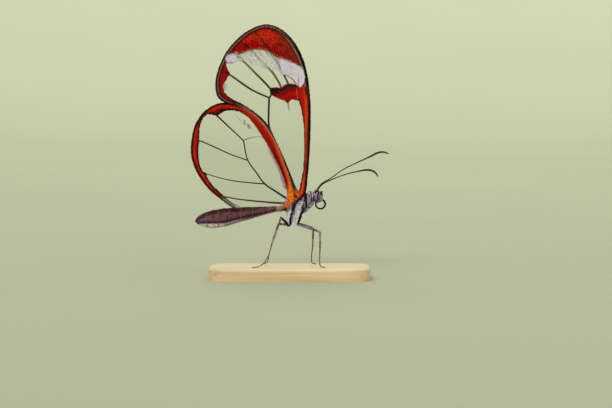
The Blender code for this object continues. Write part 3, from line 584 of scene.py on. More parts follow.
def forewing_tone(p):
    """The forewing's colours from distances to its margin, window, bar and veins."""
    x, z = p.T
    out, edge = distance(p, FORE_OUT, True), distance(p, FORE_WINDOW, True)
    blotch, grain, fleck = mottle(p, 2.0, 3), mottle(p, 0.7, 4), mottle(p, 0.4, 9)
    turn = np.degrees(np.arctan2(z - FOREWING_MIDDLE[1], x - FOREWING_MIDDLE[0])) % 360.0
    white, bar, clear = inside(p, FORE_WHITE), inside(p, FORE_BAR), inside(p, FORE_WINDOW)
    costa = ramp(x, 0.8, 1.0) * fall(z, 28.6, 29.0) * (1.0 - bar)
    inner = fall(z, 23.6, 25.0) * (1.0 - costa)
    apex, rim = ramp(z, 32.6, 34.0), distance(p, WHITE_RIM)
    near = ramp(x + 0.35 * (z - 33.0) + 0.5 * blotch, -1.9, 0.9) * ramp(z, 31.0, 32.0)
    vein = np.minimum.reduce([distance(p, np.array(line)) for _, _, line in FOREWING_VEINS[1:6]])
    # Tip: dark red above the white band, then bright orange-red, with olive clouds near the leading edge
    tone = layers(
        even(p, "#A80A08"),
        ("#7E0608", 0.7 * ramp(grain, 0.0, 0.8)),
        ("#AE0604", apex),
        ("#DE2A06", apex * ramp(rim + 0.6 * blotch + 0.45 * grain, 0.9, 2.1)),
        ("#F4480E", apex * 0.5 * ramp(fleck, 0.3, 0.9) * ramp(rim, 1.0, 2.0)),
        ("#5A0204", apex * 0.85 * ramp(-fleck - 0.5 * grain, 0.1, 0.7)),
        ("#541808", near * ramp(grain + 0.6 * fleck, -0.9, 0.5) * 0.85),
        ("#9A4412", near * 0.7 * ramp(fleck, 0.2, 0.9)),
        ("#3A1408", spot(x, z + 0.2 * (x + 1.7), (-1.7, 35.6), (0.9, 0.3)) * 0.8),
        ("#D8801C", apex * band(rim, 0.05, 0.22) * ramp(grain, -0.6, 0.4)),
        ("#2E0A0A", fall(vein + 0.1 * fleck, 0.07, 0.24) * ramp(edge, 0.0, 0.2)
         * (0.5 + 0.5 * ramp(grain, -0.5, 0.3))),
        ("#6E5A60", spot(x + 0.9 * (z - 36.05), z, (-3.9, 36.05), (0.2, 0.3)) * 0.6),
        # Dark line where the outer band meets the window
        ("#260A08", fall(edge, 0.06, 0.2) * (1.0 - apex)))
    # Inner band: black along the window, then brown, red towards its end
    hind = shade(edge, [(0.06, "#2A1408"), (0.15, "#5E3818"), (0.45, "#8A6034"), (0.9, "#6A3014")])
    # Lines round the margin: black, pink and black on the outer side, mostly black towards the leading edge
    wide = np.interp(turn, [100.0, 150.0], [1.35, 1.0])
    far = shade(out / wide, [(0.11, "#120A08"), (0.18, "#8A4A3C"), (0.23, "#CF9082"), (0.27, "#7A4034"),
                             (0.33, "#1C0808"), (0.5, "#240808")])
    front = shade(out, [(0.42, "#0C0606"), (0.48, "#4A141A"), (0.55, "#D09C92"), (0.61, "#A46E60"),
                        (0.7, "#3A1810"), (0.95, "#5A2810")])
    reach = np.interp(turn, [60.0, 100.0, 150.0], [0.9, 0.68, 0.48])
    lines = fall(out, reach, reach * 1.3) * (1.0 - costa) * (1.0 - bar) * ramp(z, 23.5, 25.0)
    # Leading edge: black, maroon, orange-red, and a thin dark line along the window
    lead = shade(out + 0.04 * grain, [(0.22, "#0E0706"), (0.3, "#300A08"), (0.4, "#8A1208"), (0.52, "#E23E0C"),
                                      (0.72, "#EE4A10"), (0.95, "#CC1E08"), (1.4, "#B81208")])
    lead = tint(lead, "#4E1A0C", ramp(z, 26.6, 27.8) * fall(out, 0.6, 0.9))
    root = costa * fall(z, 11.9, 12.6) * ramp(out, 0.3, 0.42)
    # The bar that closes the cell: a black and a brown line above, then dark and bright red
    above = distance(p, np.array(FOREWING_BAR_ABOVE))
    beam = shade(above + 0.06 * grain, [(0.2, "#120808"), (0.3, "#6E4034"), (0.4, "#5A0C0A"), (0.75, "#8E0608"),
                                        (1.2, "#C00E08"), (1.9, "#A00608")])
    beam = tint(beam, "#1A0808", spot(x, z, (-2.3, 28.1), (1.0, 1.0), reach=0.6) * ramp(grain, -1.0, 0.3))
    tone = layers(
        tone,
        (hind, inner * (1.0 - 0.5 * ramp(z, 17.0, 23.0))),
        (tint(far, front, fall(turn, 72.0, 98.0)), lines),
        (lead, costa),
        ("#2A1408", costa * fall(edge, 0.03, 0.14)),
        ("#F07C1C", np.maximum(root * fall(x, 1.3, 1.6), inner * fall(z, 11.5, 12.0))),
        ("#5A0808", costa * fall(z, 11.0, 11.5) * ramp(x, 1.5, 1.9)),
        (beam, bar),
        ("#E0401A", band(x - 1.15 - 0.12 * (28.2 - z), 0.0, 0.13) * band(z, 27.6, 1.3)))
    # White band: lilac at both ends, greyer between, and a patch of the same at the outer margin
    pale = shade(x, [(-9.5, "#DED2E8"), (-8.0, "#F4F0F2"), (-3.0, "#F6F2F6"), (0.0, "#E4DAEE"),
                     (1.6, "#EEE4F2")])
    patch = clear & (x < -9.2) & (edge > 0.1)
    tone = np.where((white | patch)[:, None], pale, tone)
    return tint(tone, "#C89AA0", white * band(x - 1.45, 0.0, 0.12) * fall(z, 30.2, 31.0))


def hindwing_cover(p):
    """How densely scales stand on the hindwing, and which places have narrow hair-scales."""
    x, z = p.T
    clear, edge = inside(p, HIND_WINDOW), distance(p, HIND_WINDOW, True)
    heavy = 0.1 + 0.4 * spot(x, z, (-6.2, 22.0), (1.0, 1.0), reach=0.6)
    smudge = heavy * fall(distance(p, np.array(HINDWING_SMUDGE)), 0.1, 0.4)
    soft = 0.9 * fall(edge, 0.2, 0.5) * fall(z, 17.5, 20.5) * (x > -3.4) * ramp(z, 11.5, 12.5)
    cover = np.where(clear, np.maximum(smudge, soft), 1.0)
    bare = ramp(x, -9.0, -8.6) * (z < 9.7) * (x < -0.95)
    return cover * (1.0 - bare), clear


def hindwing_tone(p):
    """The hindwing's colours from distances to its margin and window."""
    x, z = p.T
    out, edge = distance(p, HIND_OUT, True), distance(p, HIND_WINDOW, True)
    grain, clear = mottle(p, 0.9, 5), inside(p, HIND_WINDOW)
    turn = np.degrees(np.arctan2(z - HINDWING_MIDDLE[1], x - HINDWING_MIDDLE[0]))
    turn = np.where(turn < -50.0, turn + 360.0, turn)
    costal, anal = fall(turn, 80.0, 100.0), ramp(turn, 241.0, 246.0)
    # Outer ring: black, orange-red, black
    ring = layers(
        shade(out + 0.06 * grain, [(0.19, "#0E0504"), (0.27, "#4E0A08"), (0.36, "#A80E06"), (0.52, "#D83208"),
                                   (0.7, "#C41A06"), (0.95, "#8A0606")]),
        ("#8A0808", 0.5 * ramp(grain, 0.1, 0.9) * ramp(out, 0.2, 0.3)),
        ("#120604", fall(edge, 0.22, 0.36)),
        ("#120806", fall(distance(p, np.array(HINDWING_NOTCH)), 0.2, 0.36)))
    # Leading side: a pink line, orange-red streaks, dark red, and a soft pink-grey inner edge
    streak = mottle(np.column_stack([out, z * 0.08]), 0.35, 6)
    wide = out / np.interp(z, [13.0, 18.0, 22.0], [0.85, 1.0, 1.3])
    lead = layers(
        shade(wide + 0.04 * streak, [(0.03, "#6A3024"), (0.1, "#CC8C7C"), (0.17, "#D0602C"), (0.25, "#E64C0C"),
                                     (0.44, "#E0440A"), (0.54, "#A81C08"), (0.64, "#820808"), (0.95, "#720608"),
                                     (1.2, "#960C08")]),
        ("#FF6414", 0.6 * ramp(streak, 0.2, 0.9) * band(wide, 0.36, 0.26)),
        ("#3E0606", 0.7 * ramp(-streak, 0.3, 0.9) * ramp(wide, 0.5, 0.6)),
        ("#AE1606", 0.75 * ramp(z, 16.0, 20.5) * ramp(out, 0.2, 0.3)))
    # Root: bright orange
    root = ramp(out + 0.05 * (14.0 - z), 0.04, 0.14) * fall(z + 0.4 * grain, 12.4, 14.2)
    root = root * np.maximum(ramp(x - 0.1 * (z - 12.0), -0.5, -0.1), fall(z, 10.6, 11.2)) * (x > -1.5)
    hind = anal * (1.0 - costal) * (1.0 - root)
    tone = layers(
        ring,
        (lead, costal),
        ("#F07408", root * 0.95),
        ("#C43C04", root * 0.8 * ramp(mottle(p, 0.6, 12), -0.1, 0.6)),
        ("#F89C28", root * 0.7 * ramp(mottle(p, 0.7, 13), 0.2, 0.8)),
        ("#C24A08", root * fall(x, -0.5, -0.2) * 0.8),
        # Hind edge: fading to a thin dark line with grey between
        ("#3A2214", hind),
        ("#A89C9E", hind * 0.5 * ramp(out, 0.12, 0.2)))
    soft = np.where((x > -3.6)[:, None], colour("#C09AA0"), colour("#8E8290"))
    return np.where((clear & (edge > 0.06))[:, None], soft, tone)


WINGS = {
    "forewing": (FOREWING_OUTLINE, FORE_OUT, FOREWING_VEINS, FOREWING_MIDDLE, forewing_cover, forewing_tone),
    "hindwing": (HINDWING_OUTLINE, HIND_OUT, HINDWING_VEINS, HINDWING_MIDDLE, hindwing_cover, hindwing_tone),
}
# Outlines of a flat scale and of a hair: along, across, up
PLATE = [
    (0.0, 0.0, 0.0), (0.4, -0.5, 0.05), (0.9, -0.4, 0.14), (1.0, 0.0, 0.16), (0.9, 0.4, 0.14), (0.4, 0.5, 0.05),
]
HAIR = [(0.0, -0.5, 0.0), (0.55, -0.4, 0.1), (1.0, 0.0, 0.28), (0.55, 0.4, 0.1), (0.0, 0.5, 0.0)]


def make_membrane(wing, tag, side):
    """A thin closed shell: rings middle + s (rim - middle) of the outline, on one face and then the other."""
    outline, _, _, middle, *_ = WINGS[wing]
    rim = middle + MEMBRANE_SHARE * (spline(outline, MEMBRANE_POINTS, closed=True) - middle)
    s = np.linspace(0.04, 1.0, MEMBRANE_RINGS)
    s = np.concatenate([s, s[::-1]])
    out = np.repeat([MEMBRANE_HALF, -MEMBRANE_HALF], len(s) // 2)
    flat = (middle + s[:, None, None] * (rim - middle)).reshape(-1, 2)
    rings = on_wing(flat, wing, side, np.repeat(out, len(rim)))
    poles = on_wing(np.array([middle, middle]), wing, side, np.array([MEMBRANE_HALF, -MEMBRANE_HALF]))
    add_piece(f"membrane_{wing}_{tag}", np.vstack([rings, poles]), ring_faces(len(s), len(rim)),
              MEMBRANE_FINISH, "wing_membrane", [f"{wing}_{tag}"])


def make_veins(wing, tag, side):
    """The wing's veins: round tubes on its middle surface, thinner at the margin, pale under white scales."""
    shapes, tones = [], []
    _, _, veins, *_ = WINGS[wing]
    for root, tip, line in veins:
        count = 6 + 4 * len(line)
        flat = spline(line, count)
        radius = np.linspace(root, tip, count)
        shapes.append(tube(on_wing(flat, wing, side), radius, radius * 0.95, VEIN_SIDES))
        under = inside(flat, FORE_WHITE) & (wing == "forewing") & ((root < 0.09) | (flat[:, 0] > 0.0))
        pale = under * ramp(distance(flat, FORE_WHITE, True), 0.35, 0.7) * (0.6 + 0.4 * (flat[:, 0] > -1.5))
        tone = tint(even(flat, "#1C0E07"), "#DCD6DC", pale).repeat(VEIN_SIDES, axis=0)
        tones.append(np.vstack([tone, tone[:1], tone[-1:]]))
    points, faces = join(shapes)
    add_piece(f"veins_{wing}_{tag}", points, faces, VEIN_FINISH, "wing_membrane", colours=np.vstack(tones))


def quarter_turn(flat):
    """Flat rows turned a quarter round."""
    return np.column_stack([-flat[:, 1], flat[:, 0]])


def lay_scales(wing, seed):
    """Both faces' scales on the flat wing: a jittered lattice, thinned by the cover, aimed away from the root.

    The colours are read at every point of each scale, so that the wing's fine lines run on through them.
    """
    _, loop, _, _, cover_of, tone_of = WINGS[wing]
    draw = np.random.default_rng(seed)
    low, high = loop.min(0), loop.max(0)
    shape, _ = leaf_shape(PLATE, 0.01)
    faces = []
    for face in (1.0, -1.0):
        x, z = np.meshgrid(np.arange(low[0], high[0], SCALE_SPACING * 0.93),
                           np.arange(low[1], high[1], SCALE_SPACING))
        # Every other row stands half a step on, as tiles do
        x[::2] += SCALE_SPACING * 0.46
        p = np.column_stack([x.ravel(), z.ravel()])
        p = p + draw.normal(0.0, SCALE_JITTER, p.shape)
        p = p[inside(p, loop)]
        cover, narrow = cover_of(p)
        # Most hair-scales stand on the outer face
        keep = draw.random(len(p)) < cover * (1.0 - 0.7 * narrow * (face < 0.0))
        p, narrow = p[keep], narrow[keep]
        aim = unit(p - HINGE - np.column_stack([np.zeros(len(p)), 10.0 * ramp(p[:, 1], 22.0, 28.0)]))
        yaw = draw.normal(0.0, 0.12, (len(p), 1))
        aim = unit(aim + yaw * quarter_turn(aim))
        size = draw.uniform(0.85, 1.15, len(p))
        length = np.where(narrow, HAIR_SCALE_LENGTH, SCALE_LENGTH) * size
        width = np.where(narrow, HAIR_SCALE_WIDTH, SCALE_WIDTH) * size
        # A scale whose tip would pass the margin sits further in
        over = ~inside(p + aim * (0.85 * length)[:, None], loop)
        p = p - aim * (0.85 * length * over)[:, None]
        good = inside(p, loop)
        p, aim, length, width = p[good], aim[good], length[good], width[good]
        flat = (p[:, None] + (aim * length[:, None])[:, None] * shape[:, 0, None]
                + (quarter_turn(aim) * width[:, None])[:, None] * shape[:, 1, None] * face)
        tone = tone_of(flat.reshape(-1, 2)).reshape(len(p), len(shape), 3)
        tone = tone * draw.uniform(0.82, 1.18, (len(p), 1, 1))
        # The two faces lie side by side on the unwrap, each as tall as the square
        place = TILE_MARGIN + TILE_SIDE * (p - low) / (high - low) * (1.0, 2.08) + (0.5 * (face < 0.0), 0.0)
        faces.append((face, p, aim, length, width, tone, place))
    return faces


def make_scales(wing, tag, side, faces):
    """The laid-out scales carried to one wing: root at the membrane, tip lifted like a roof tile's."""
    parts = []
    for face, p, aim, length, width, tone, place in faces:
        out = face * (MEMBRANE_HALF + SCALE_LIFT)
        roots = on_wing(p, wing, side, out)
        along = unit(on_wing(p + 0.1 * aim, wing, side, out) - roots)
        up = np.array((0.0, side * face, 0.0))
        up = unit(up - (along @ up)[:, None] * along)
        parts.append((roots, along, up, length, width, tone, place))
    shape, plate = leaf_shape(PLATE, 0.01)
    add_coat(f"scales_{wing}_{tag}", "wing_membrane", shape * (1.0, -side, 1.0), plate, *stack(parts))


def make_wings():
    """Both pairs of wings; left and right share one layout of scales, as mirror images."""
    for seed, wing in enumerate(WINGS, WING_SEED):
        faces = lay_scales(wing, seed)
        for tag, side in SIDES.items():
            make_membrane(wing, tag, side)
            make_veins(wing, tag, side)
            make_scales(wing, tag, side, faces)


def node(tree, kind, inputs=(), **settings):
    """One shader node, its settings, and each input as a value or as the socket that feeds it."""
    made = tree.nodes.new(kind)
    for key, value in settings.items():
        setattr(made, key, value)
    for key, value in dict(inputs).items():
        if isinstance(value, bpy.types.NodeSocket):
            tree.links.new(value, made.inputs[key])
        else:
            made.inputs[key].default_value = value
    return made


def finish_of(name, dark, light, size, roughness, bump=0.0, attribute=False, stretch=(1.0, 1.0, 1.0), blend=0.2,
              **sockets):
    """A material whose colour wanders between two over a grain `size` mm across, with a bump of that grain.

    `blend` is how far the grain's value lies from its middle where a colour is pure: a small one gives
    hard edges. With an attribute the two colours only shade the piece's own colours.
    """
    material = bpy.data.materials.new(name)
    material.use_nodes = True
    tree = material.node_tree
    tree.nodes.clear()
    place = node(tree, "ShaderNodeTexCoord").outputs["Object"]
    turned = node(tree, "ShaderNodeMapping", {"Vector": place, "Scale": stretch}).outputs["Vector"]
    grain = node(tree, "ShaderNodeTexNoise", {"Vector": turned, "Scale": 1.0 / (size * MM), "Detail": 3.0,
                                              "Roughness": 0.6}).outputs["Fac"]
    share = node(tree, "ShaderNodeMapRange", {"Value": grain, "From Min": 0.5 - blend,
                                              "From Max": 0.5 + blend}).outputs[0]
    paint = node(tree, "ShaderNodeMix", {"Factor": share, "A": (*colour(dark), 1.0),
                                         "B": (*colour(light), 1.0)}, data_type="RGBA").outputs["Result"]
    if attribute:
        own = node(tree, "ShaderNodeAttribute", attribute_name="scale_colour").outputs["Color"]
        paint = node(tree, "ShaderNodeMix", {"Factor": 1.0, "A": own, "B": paint},
                     data_type="RGBA", blend_type="MULTIPLY").outputs["Result"]
    inputs = {"Base Color": paint, "Roughness": roughness, **sockets}
    if bump:
        relief = node(tree, "ShaderNodeBump", {"Height": grain, "Strength": bump, "Distance": 0.2 * size * MM})
        inputs["Normal"] = relief.outputs["Normal"]
    shader = node(tree, "ShaderNodeBsdfPrincipled", inputs)
    node(tree, "ShaderNodeOutputMaterial", {"Surface": shader.outputs[0]})
    return material


# Wing membrane: dried chitin, a few thousandths of a millimetre thick, clear with a faint tan cast
MEMBRANE_FINISH = finish_of("chitin_membrane", "#6A5A40", "#80704E", 1.6, 0.22, 0.25, Alpha=0.032, IOR=1.56)
# Veins: tanned chitin tubes, dark brown and satin
VEIN_FINISH = finish_of("chitin_vein", "#8A8078", "#FFFFFF", 0.5, 0.45, 0.3, attribute=True, IOR=1.56,
                        **{"Specular IOR Level": 0.2})
# Scales and hairs: ridged flakes of chitin, dull with a soft sheen; the ridges are drawn 0.06 mm apart
SCALE_FINISH = finish_of("chitin_scale", "#DAD4D4", "#FFFFFF", 0.06, 0.62, 0.3, attribute=True, IOR=1.5,
                         **{"Specular IOR Level": 0.08})
# Skin under the coat: matt cuticle with fine pits
SKIN_FINISH = finish_of("body_cuticle", "#B8B0B0", "#FFFFFF", 0.16, 0.6, 0.5, attribute=True, IOR=1.5,
                        **{"Specular IOR Level": 0.15})
# Legs, feelers and palps: hard cuticle, satin
LEG_FINISH = finish_of("leg_cuticle", "#A89A98", "#FFFFFF", 0.1, 0.45, 0.4, attribute=True, IOR=1.5,
                       **{"Specular IOR Level": 0.25})
# Eyes: smooth dark cornea over hundreds of facets
EYE_FINISH = finish_of("cornea", "#100810", "#A08CA4", 0.34, 0.3, 0.0, stretch=(1.0, 1.0, 0.12), blend=0.07,
                       **{"Specular IOR Level": 0.3, "Coat Weight": 0.15, "Coat Roughness": 0.1})
# Tongue: two black half-pipes of ringed cuticle, satin
TONGUE_FINISH = finish_of("ringed_cuticle", "#020101", "#0A0606", 0.12, 0.5, 0.5, IOR=1.5,
                          **{"Specular IOR Level": 0.12})
# Display base: sanded maple with a thin satin lacquer; the growth lines run along it about 1.2 mm apart
MAPLE_FINISH = finish_of("maple_wood", "#C9A67C", "#E6CDA6", 1.2, 0.38, 0.12, stretch=(0.06, 1.0, 1.0),
                         **{"Coat Weight": 0.35, "Coat Roughness": 0.2})


def loft(stations, count, sides, swell=None):
    """A form along the body from (x, top, bottom, half-width) rows: ellipses that reach from bottom to top.

    Their radii are scaled by swell(t), and the form closes at both ends.
    """
    rows = spline(stations, count)
    grow = np.ones(count) if swell is None else swell(np.linspace(0.0, 1.0, count))
    path = np.column_stack([rows[:, 0], np.zeros(count), rows[:, 1:3].mean(axis=1)])
    ends = rounded(count, reach=0.05)
    return tube(path, 0.5 * (rows[:, 1] - rows[:, 2]) * grow * ends, rows[:, 3] * grow * ends, sides)


def ball(centre, half, sides=28, rows=21):
    """An ellipsoid: rings of sin(a) round a line whose points stand at -cos(a)."""
    a = np.linspace(0.12, math.pi - 0.12, rows)
    path = np.asarray(centre) + np.column_stack([-half[0] * np.cos(a), np.zeros(rows), np.zeros(rows)])
    return tube(path, half[2] * np.sin(a), half[1] * np.sin(a), sides)


def mirrored(line, side):
    """A line of points for the left side carried to either."""
    return np.asarray(line, float) * (1.0, side, 1.0)


def melt(shapes, voxel, relax):
    """Closed forms grown into one even skin: remeshed in voxels, then each point drawn to its neighbours."""
    points, faces = join(shapes)
    mesh = bpy.data.meshes.new("forms")
    mesh.from_pydata(points.tolist(), [], [row for part in faces for row in part.tolist()])
    forms = bpy.data.objects.new("forms", mesh)
    bpy.context.collection.objects.link(forms)
    remesh = forms.modifiers.new("melt", "REMESH")
    remesh.mode = "VOXEL"
    remesh.voxel_size = voxel
    smooth = forms.modifiers.new("relax", "SMOOTH")
    smooth.iterations = relax
    skin = forms.evaluated_get(bpy.context.evaluated_depsgraph_get()).to_mesh()
    points = np.empty(len(skin.vertices) * 3, np.float32)
    skin.vertices.foreach_get("co", points)
    loops, totals = np.empty(len(skin.loops), np.int32), np.empty(len(skin.polygons), np.int32)
    skin.loops.foreach_get("vertex_index", loops)
    skin.polygons.foreach_get("loop_total", totals)
    starts = np.cumsum(totals) - totals
    faces = [loops[starts[totals == n][:, None] + np.arange(n)] for n in np.unique(totals)]
    bpy.data.objects.remove(forms)
    bpy.data.meshes.remove(mesh)
    return points.reshape(-1, 3).astype(float), faces


def seats(points, faces, count, draw):
    """Places a + u (b - a) + v (c - a) scattered over triangles by area, each with its outward normal."""
    tri = np.vstack([part[:, [0, k, k + 1]] for part in faces for k in range(1, part.shape[1] - 1)])
    a, b, c = points[tri[:, 0]], points[tri[:, 1]], points[tri[:, 2]]
    normal = np.cross(b - a, c - a)
    area = np.linalg.norm(normal, axis=1)
    pick = draw.choice(len(tri), count, p=area / area.sum())
    u, v = draw.random((2, count, 1))
    u, v = np.where(u + v > 1.0, 1.0 - u, u), np.where(u + v > 1.0, 1.0 - v, v)
    return a[pick] + (b - a)[pick] * u + (c - a)[pick] * v, unit(normal[pick])


def unwrap(p, axis, middle, low, high, tile):
    """A cylinder unrolled into a quarter of the square: distance along its axis, and angle about its middle."""
    q = np.delete(p, axis, axis=1) - middle
    run = np.clip((p[:, axis] - low) / (high - low), 0.0, 1.0)
    angle = np.arctan2(q[:, 0], -q[:, 1]) / (2.0 * math.pi) + 0.5
    return np.asarray(tile) + TILE_MARGIN + TILE_SIDE * np.column_stack([run, angle])


def body_tone(p):
    """The body's colours by place: mauve abdomen over lilac, maroon thorax, white hips, streaked grey face."""
    x, y, z = p.T
    blotch, grain = mottle(p, 1.3, 31), mottle(p, 0.35, 32)
    side = ramp(np.abs(y), 0.25, 0.55)
    # Abdomen: mauve-brown above, grey-lilac below, a pale line at each ring, pinker and paler at the waist
    back = fall(x, -1.4, -0.9)
    waist = back * ramp(x, -6.5, -2.0)
    belly = np.interp(x, *BELLY_LINE)
    under = back * fall(z - belly + 0.1 * grain, -0.16, 0.12)
    strip = shade(x, [(-15.0, "#C06A2C"), (-14.4, "#F6E8EC"), (-10.8, "#F4E8F4"), (-10.3, "#B8B2D0"),
                      (-7.9, "#B8B2D0"), (-7.0, "#A88AAC"), (-4.0, "#B494B0"), (-2.2, "#DCB8BC")])
    ring = (ABDOMEN_STATIONS[0][0] - x) / ABDOMEN_RING % 1.0
    tone = layers(
        even(p, "#2E161C"),
        ("#5E343C", ramp(blotch, -0.2, 0.9)),
        ("#784C50", back),
        ("#5E3A3E", back * ramp(blotch, -0.2, 0.7) * 0.7),
        ("#7A5C78", back * fall(x, -14.6, -12.2) * 0.8),
        ("#3A1418", back * band(z - np.interp(x, *ABDOMEN_BACK), -0.1, 0.7) * 0.85),
        ("#B88A86", waist * ramp(grain, -0.4, 0.6) * 0.8),
        ("#A8805C", waist * band(x + 3.4, 0.0, 1.2) * band(z, 9.05, 0.16) * 0.5 * ramp(grain, -0.4, 0.3)),
        (strip, under * 0.95),
        ("#2E1418", back * band(z - belly, 0.24, 0.26) * 0.7),
        ("#3A2228", back * band(ring, 0.9, 0.08) * 0.35),
        ("#A88A98", back * band(ring, 0.99, 0.06) * (0.3 + 0.7 * under)),
        ("#D4A89E", back * band(x, -1.5, 0.8) * 0.8),
        # Thorax: maroon with pink lights, and patches by place
        *((text, side * spot(x, z, (px, pz), (rx, rz), 0.2 * grain, 1.3))
          for px, pz, rx, rz, text in BODY_PATCHES))
    # The white lobes of the hips, each with a dark stripe down its front; the middle one's upper edge is combed
    # into teeth 0.34 mm apart
    streak = ramp(mottle(p * (3.0, 1.0, 1.0), 0.8, 34), 0.1, 0.7)
    for row, stripe in ((HIND_LOBE, 0.36), (MID_LOBE, 0.5)):
        height, left, right = np.array(row).T
        low, high = height[0], height[-1]
        comb = 0.2 * np.sin(z * (2.0 * math.pi / 0.34)) * ramp(z, 9.1, 9.3) * (row is MID_LOBE)
        start, end = np.interp(z, height, left) + comb, np.interp(z, height, right)
        there = ramp(np.abs(y), 0.4, 0.62) * ramp(z, low - 0.3, low) * (x > -0.95)
        there = there * fall(z, high - 0.1, high + 0.15)
        rough = x + 0.05 * grain
        lobe = there * ramp(rough, start - 0.06, start + 0.06) * fall(rough, end - 0.06, end + 0.06)
        leg = there * fall(z, 8.45, 9.0 if row is MID_LOBE else 8.7)
        tone = layers(
            tone,
            ("#F0E8F6", lobe),
            ("#A8A0B0", lobe * 0.7 * streak),
            ("#B09CB0", leg * band(x - end, stripe + 0.1, 0.15)),
            ("#0C0608", leg * ramp(x - end, 0.0, 0.05) * fall(x - end, stripe - 0.03, stripe + 0.03)),
            ("#C8BECC", leg * band(x - start, -0.12, 0.2)))
    # Neck and face: upright streaks of white, mauve and black over purple
    face = ramp(x, 2.8, 2.95)
    lean = x + 0.06 * (z - 10.9) + 0.05 * mottle(p, 0.8, 33)
    streak = np.cos(2.0 * math.pi * (lean - 2.92) / 0.39)
    tone = layers(
        tone,
        ("#6C4878", face),
        ("#54306A", face * ramp(z, 11.2, 11.7) * ramp(x, 3.5, 3.8)),
        ("#A890AC", face * ramp(grain, -0.1, 0.5) * 0.4),
        ("#F4E2F2", face * ramp(streak + 0.4 * grain, 0.1, 0.5)),
        ("#160A18", face * ramp(-streak + 0.4 * grain, 0.35, 0.75)),
        ("#F0E4DC", face * spot(x, z, (3.0, 11.5), (0.45, 0.2))),
        ("#E0D4E6", face * band(x, 3.0, 0.22) * fall(z, 10.7, 11.1) * 0.9),
        ("#0E080C", face * spot(x, z, (5.0, 11.4), (0.2, 0.3))),
        ("#6A6480", face * fall(z - 0.45 * (x - 3.0), 9.5, 9.8) * 0.7))
    return np.clip(tone, 0.0, 1.0)


def make_body():
    """Abdomen, thorax, neck, head and hips as one skin, with its coat of scales and hairs."""
    shapes = [loft(ABDOMEN_STATIONS, 150, 44, lambda t: 1.0 - 0.035 * (t * ABDOMEN_RINGS % 1.0)),
              loft(THORAX_STATIONS, 80, 40), ball(HEAD_CENTRE, HEAD_HALF)]
    shapes += [ball(centre, half) for centre, half in MIDDLE_FORMS]
    replaced = ["abdomen", "thorax", "head"]
    for tag, side in SIDES.items():
        for name, line in COXAE.items():
            path, t = spline(mirrored(line, side), 24), np.linspace(0.0, 1.0, 24)
            deep, wide = (np.interp(t, np.linspace(0.0, 1.0, len(radii)), radii) * rounded(24, reach=0.12)
                          for radii in (COXA_DEPTH, COXA_WIDTH))
            shapes.append(tube(path, deep, wide, 20))
            replaced.append(f"{name}_{tag}")
        shapes += [ball(mirrored(centre, side), half) for centre, half in SIDE_FORMS]
    points, faces = melt(shapes, SKIN_VOXEL, SKIN_RELAX)
    add_piece("body_skin", points, faces, SKIN_FINISH, "thorax_scales", replaced, body_tone(points))
    draw = np.random.default_rng(BODY_SEED)
    root, normal = seats(points, faces, BODY_TUFTS, draw)
    # No hair grows where the eyes sit
    near = np.column_stack([root[:, 0], np.abs(root[:, 1]), root[:, 2]]) - HEAD_CENTRE - EYE_OFFSET
    free = ((near / EYE_HALF) ** 2).sum(axis=1) > EYE_CLEARANCE
    root, normal = root[free], normal[free]
    x, _, z = root.T
    names = np.array(list(REGIONS))
    region = names[np.select([(z < HIP_TOP) & (x > HIP_REAR), x > FACE_REAR, x < ABDOMEN_FRONT], [3, 2, 1])]
    flow, rise, length, width = np.empty((len(root), 3)), *np.empty((3, len(root)))
    place = np.empty((len(root), 2))
    for name, (way, lift, long, broad, fold) in REGIONS.items():
        here = region == name
        flow[here], rise[here], length[here], width[here] = way, lift, long, broad
        place[here] = unwrap(root[here], *fold)
    along, up = lie(normal, unit(flow + draw.normal(0.0, 0.12, root.shape)), rise[:, None])
    length = length * draw.uniform(0.7, 1.2, len(root))
    # Each tuft has the colour of the place that its middle covers
    tone = body_tone(root + along * (0.55 * length)[:, None]) * draw.uniform(0.75, 1.25, len(root))[:, None]
    scaly = (region == "abdomen") | (region == "hip")
    for name, slot, chosen, outline in (("abdomen_coat", "abdomen_scales", scaly, PLATE),
                                        ("thorax_coat", "thorax_scales", ~scaly, HAIR)):
        columns = [column[chosen] for column in (root, along, up, length, width, tone, place)]
        add_coat(name, slot, *leaf_shape(outline, 0.02), *columns)


def make_eyes():
    """Each eye: an ellipsoid whose radius is scaled by 1 + depth cos(wa) cos(wb + wa/2), a dip between facets.

    The facets are drawn 0.09 mm apart, where the real ones are about 0.02.
    """
    a = np.linspace(0.05, math.pi - 0.05, EYE_ROWS)[:, None]
    b = np.linspace(0.0, 2.0 * math.pi, EYE_SIDES, endpoint=False)
    facet = 1.0 + FACET_DEPTH * np.cos(a * FACET_WAVES) * np.cos(b * FACET_WAVES + 0.5 * a * FACET_WAVES)
    ray = np.stack([np.sin(a) * np.cos(b), np.sin(a) * np.sin(b), np.cos(a) * np.ones(EYE_SIDES)], axis=-1)
    for tag, side in SIDES.items():
        centre = HEAD_CENTRE + mirrored(EYE_OFFSET, side)
        points = (centre + ray * np.array(EYE_HALF) * facet[..., None]).reshape(-1, 3)
        poles = centre + np.array([(0.0, 0.0, EYE_HALF[2]), (0.0, 0.0, -EYE_HALF[2])])
        add_piece(f"eye_facets_{tag}", np.vstack([points, poles]), ring_faces(EYE_ROWS, EYE_SIDES), EYE_FINISH,
                  "eye", [f"eye_{tag}"])


def limb(line, radii, count, sides=12, rings=0, depth=0.0):
    """A round limb along a smooth line, its radii spread evenly along it.

    Ring grooves scale the radius by 1 - depth cos(pi f)^12, f being the way from one groove to the next.
    """
    path = spline(line, count)
    t = np.linspace(0.0, 1.0, count)
    radius = np.interp(t, np.linspace(0.0, 1.0, len(radii)), radii) * rounded(count, reach=0.03)
    radius = radius * (1.0 - depth * np.cos(math.pi * (t * rings % 1.0)) ** 12 * (rings > 0))
    return tube(path, radius, radius, sides)


